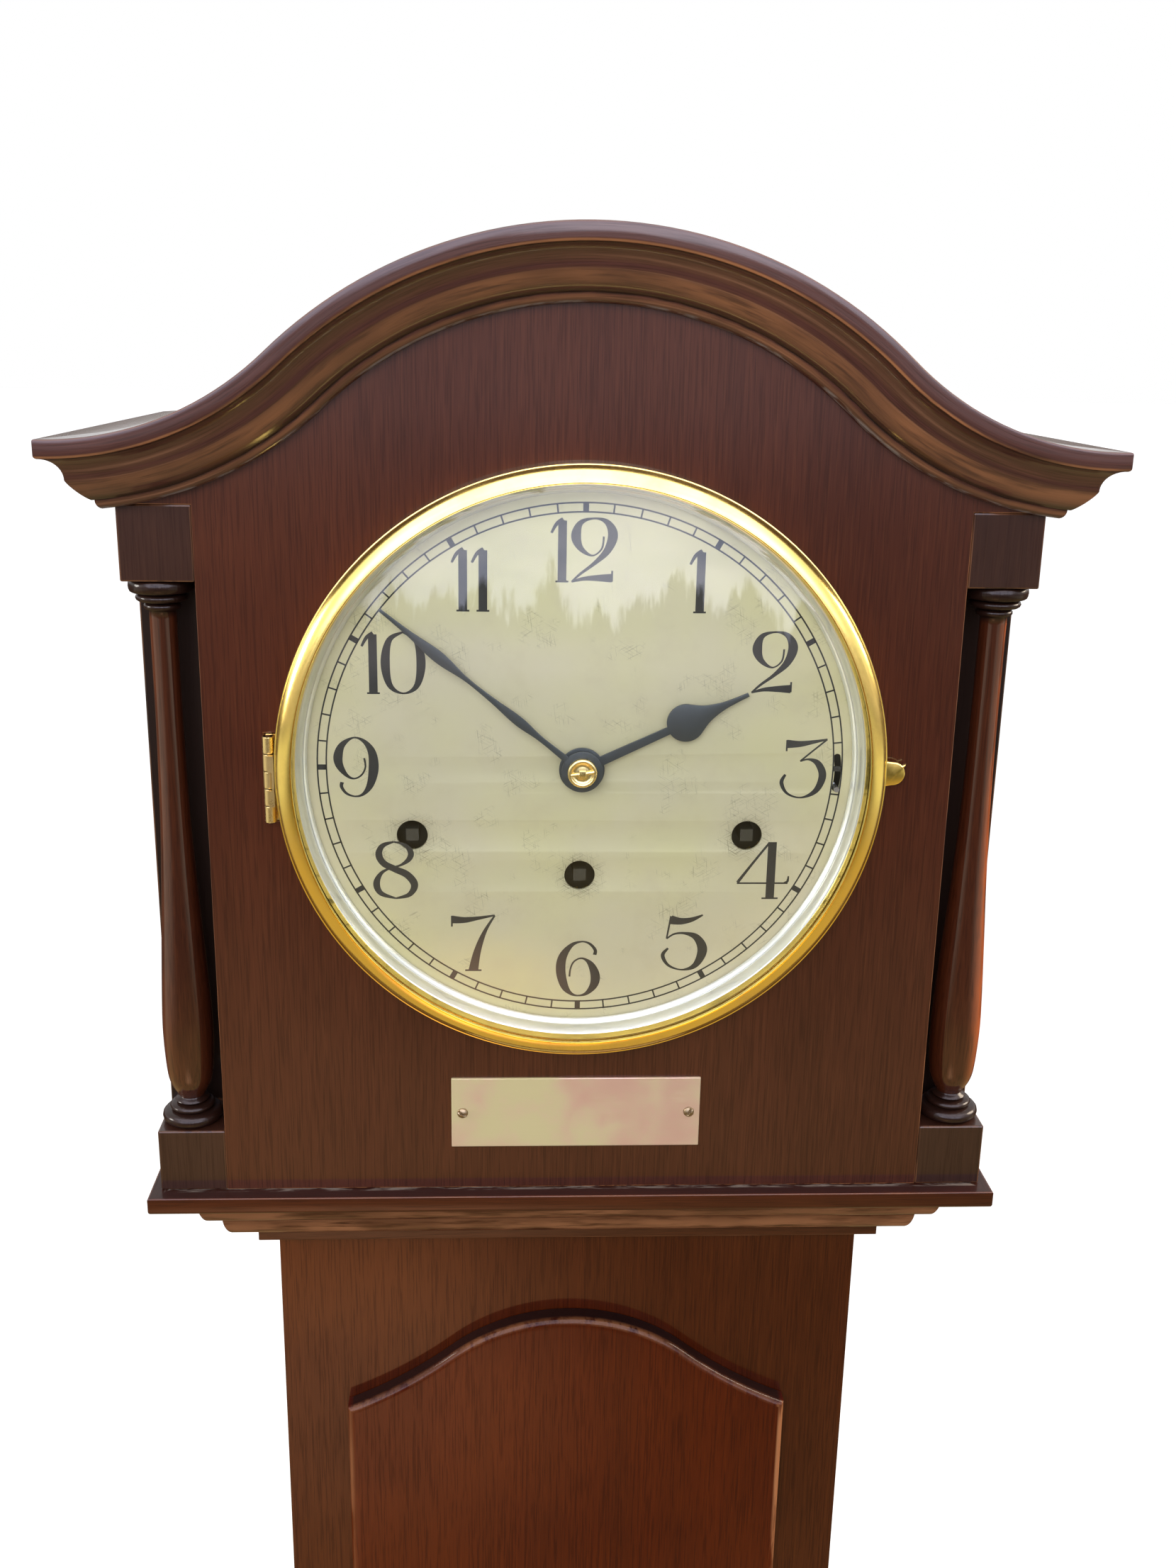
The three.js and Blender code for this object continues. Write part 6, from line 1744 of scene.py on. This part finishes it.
for place in ("left", "centre", "right"):
    PLAIN_NODES[f"winding_arbor_{place}"] = dark_steel
    PLAIN_NODES[f"barrel_{place}"] = sheet_brass
for node, material in PLAIN_NODES.items():
    finish_solid(node, material)
print(len(METAL_NODES) + len(PLAIN_NODES), "movement pieces finished")

# %% [markdown]
# The stage is plain: a pale floor that keeps the clock's shadow, soft lamps from the right, the left
# and above, and a white backdrop. Polished wood and glass show what stands in front of them, so rays
# that leave a glossy surface see an open yard instead: clouds, a line of trees, and warm soil with one
# sunlit patch. Light Path tells those rays from the others, and noise draws the clouds and the trees.

# %% Floor, lamps and world
SKY = (2.8, 3.05, 4.2)
CLOUD = (5.2, 5.2, 6.0)
ZENITH = (4.0, 3.9, 4.5)
PALE = (1.3, 1.3, 1.4)
SUNLIT = (2.6, 1.4, 0.7)
SUNLIT_PLACE = (-0.25, -1.4, 0.0)
TREES = (0.2, 0.19, 0.14)
HAZE = (0.85, 0.76, 0.8)
DUSK = (0.12, 0.075, 0.05)
SOIL = (0.62, 0.45, 0.18)
YARD = (0.11, 0.1, 0.065)
PAVING = (0.95, 0.9, 0.7)
WHITE = (1.0, 1.0, 1.0)
BLACK = (0.0, 0.0, 0.0)
LIGHT_BELOW = (0.38, 0.37, 0.355)
LIGHT_ABOVE = (0.53, 0.54, 0.56)
FLOOR_GREY = (0.45, 0.45, 0.45)
FLOOR_GLOW = (0.82, 0.82, 0.82)
FLOOR_HALF = 40.0


def pale_floor():
    half = FLOOR_HALF
    corners = [(-half, -half, 0), (half, -half, 0), (half, half, 0), (-half, half, 0)]
    floor = mesh_object("floor", [Vector(corner) for corner in corners], [(0, 1, 2, 3)])
    finish = Finish("pale_floor", Base_Color=FLOOR_GREY, Roughness=0.9, Specular_IOR_Level=0.1,
                    Emission_Strength=1.0)
    seen = finish.node("ShaderNodeLightPath", out="Is Camera Ray")
    finish.drive(Emission_Color=finish.mix(seen, BLACK, FLOOR_GLOW))
    mirrored = finish.node("ShaderNodeLightPath", out="Is Glossy Ray")
    place = finish.coordinates((1, 1, 1))
    depth = finish.node("ShaderNodeSeparateXYZ", None, {0: place}, out="Y")
    across = finish.node("ShaderNodeSeparateXYZ", None, {0: place}, out="X")
    distance = finish.node("ShaderNodeVectorMath", {"operation": "LENGTH"}, {0: place}, out="Value")
    aside = (across * across).above(10.0, 14.0) * (1.0 - distance.above(9.0, 6.0))
    far = finish.mix(distance.above(20.0, 32.0), YARD, HAZE)
    near = finish.mix(distance.above(3.2, 3.0), SOIL, far)
    sockets = {0: place, 1: SUNLIT_PLACE}
    apart = finish.node("ShaderNodeVectorMath", {"operation": "DISTANCE"}, sockets, out="Value")
    patch = finish.mix(apart.above(0.3, 0.5), SUNLIT, near)
    ground = finish.mix(aside, patch, PAVING)
    backdrop = finish.mix(depth.above(0.9, 1.0), ground, DUSK)
    yard = finish.node("ShaderNodeEmission", None, {"Color": backdrop, "Strength": 1.0})
    lit = Wire(finish, finish.shader.outputs[0])
    finish.show(finish.node("ShaderNodeMixShader", None, {0: mirrored, 1: lit, 2: yard}))
    floor.data.materials.append(finish.material)


def lamp(name, place, aim, size, watts, colour, mirrored=True):
    data = bpy.data.lights.new(name, "AREA")
    data.shape = "DISK"
    data.size = size
    data.energy = watts
    data.color = colour
    obj = bpy.data.objects.new(name, data)
    obj.location = place
    obj.rotation_euler = (Vector(aim) - Vector(place)).to_track_quat("-Z", "Y").to_euler()
    obj.visible_glossy = mirrored
    bpy.context.scene.collection.objects.link(obj)


def studio_world():
    world = bpy.data.worlds.new("studio")
    bpy.context.scene.world = world
    world.use_nodes = True
    board = Board(world.node_tree)
    rays = {}
    for title in ("Is Camera Ray", "Is Glossy Ray", "Is Transmission Ray"):
        rays[title] = board.node("ShaderNodeLightPath", out=title)
    direction = board.node("ShaderNodeTexCoord", out="Generated")
    height = board.node("ShaderNodeSeparateXYZ", None, {0: direction}, out="Z")
    depth = board.node("ShaderNodeSeparateXYZ", None, {0: direction}, out="Y")
    drift = board.noise(board.scaled(direction, (2.5, 2.5, 7.0)), detail=4.0, roughness=0.6)
    ridge = board.noise(board.scaled(direction, (11.0, 11.0, 2.0)), detail=5.0, roughness=0.65)
    clouded = board.mix(drift.above(0.5, 0.3), SKY, CLOUD)
    across = board.node("ShaderNodeSeparateXYZ", None, {0: direction}, out="X")
    zenith = board.mix(height.above(0.6, 0.4), clouded, ZENITH)
    sky = board.mix((across * across).above(0.45, 0.4), zenith, PALE)
    trees = board.mix(height.above(0.03, 0.06), HAZE, TREES)
    yard = board.mix((height - 0.5 * ridge).above(-0.16, 0.05), trees, sky)
    behind = board.mix(height.above(0.03, 0.08), DUSK, WHITE)
    seen = board.mix(depth.above(0.1, 0.5), yard, behind)
    lit = board.mix(height.above(0.0, 1.2), LIGHT_BELOW, LIGHT_ABOVE)
    mirrored = board.mix(rays["Is Glossy Ray"], lit, seen)
    straight = rays["Is Camera Ray"].larger(rays["Is Transmission Ray"])
    board.plug(board.tree.nodes["Background"].inputs["Color"], board.mix(straight, mirrored, WHITE))


pale_floor()
studio_world()
AIM = DIAL + Vector((0, 0, -0.05))
lamp("sun", DIAL + Vector((1.6, 0.25, 0.7)), AIM, 0.9, 42.0, (1.0, 0.84, 0.66))
lamp("sky", DIAL + Vector((-0.5, -1.9, 0.95)), AIM, 1.6, 26.0, (0.97, 0.98, 1.0), mirrored=False)
lamp("left", DIAL + Vector((-1.5, -0.2, 0.3)), AIM, 0.5, 12.0, (1.0, 0.95, 0.88))
bpy.context.scene.view_settings.view_transform = "Standard"
print("floor, three lamps and the world")

# %% [markdown]
# Last, nothing more is built, and the notebook ends.

# %% End
print("end of the notebook")
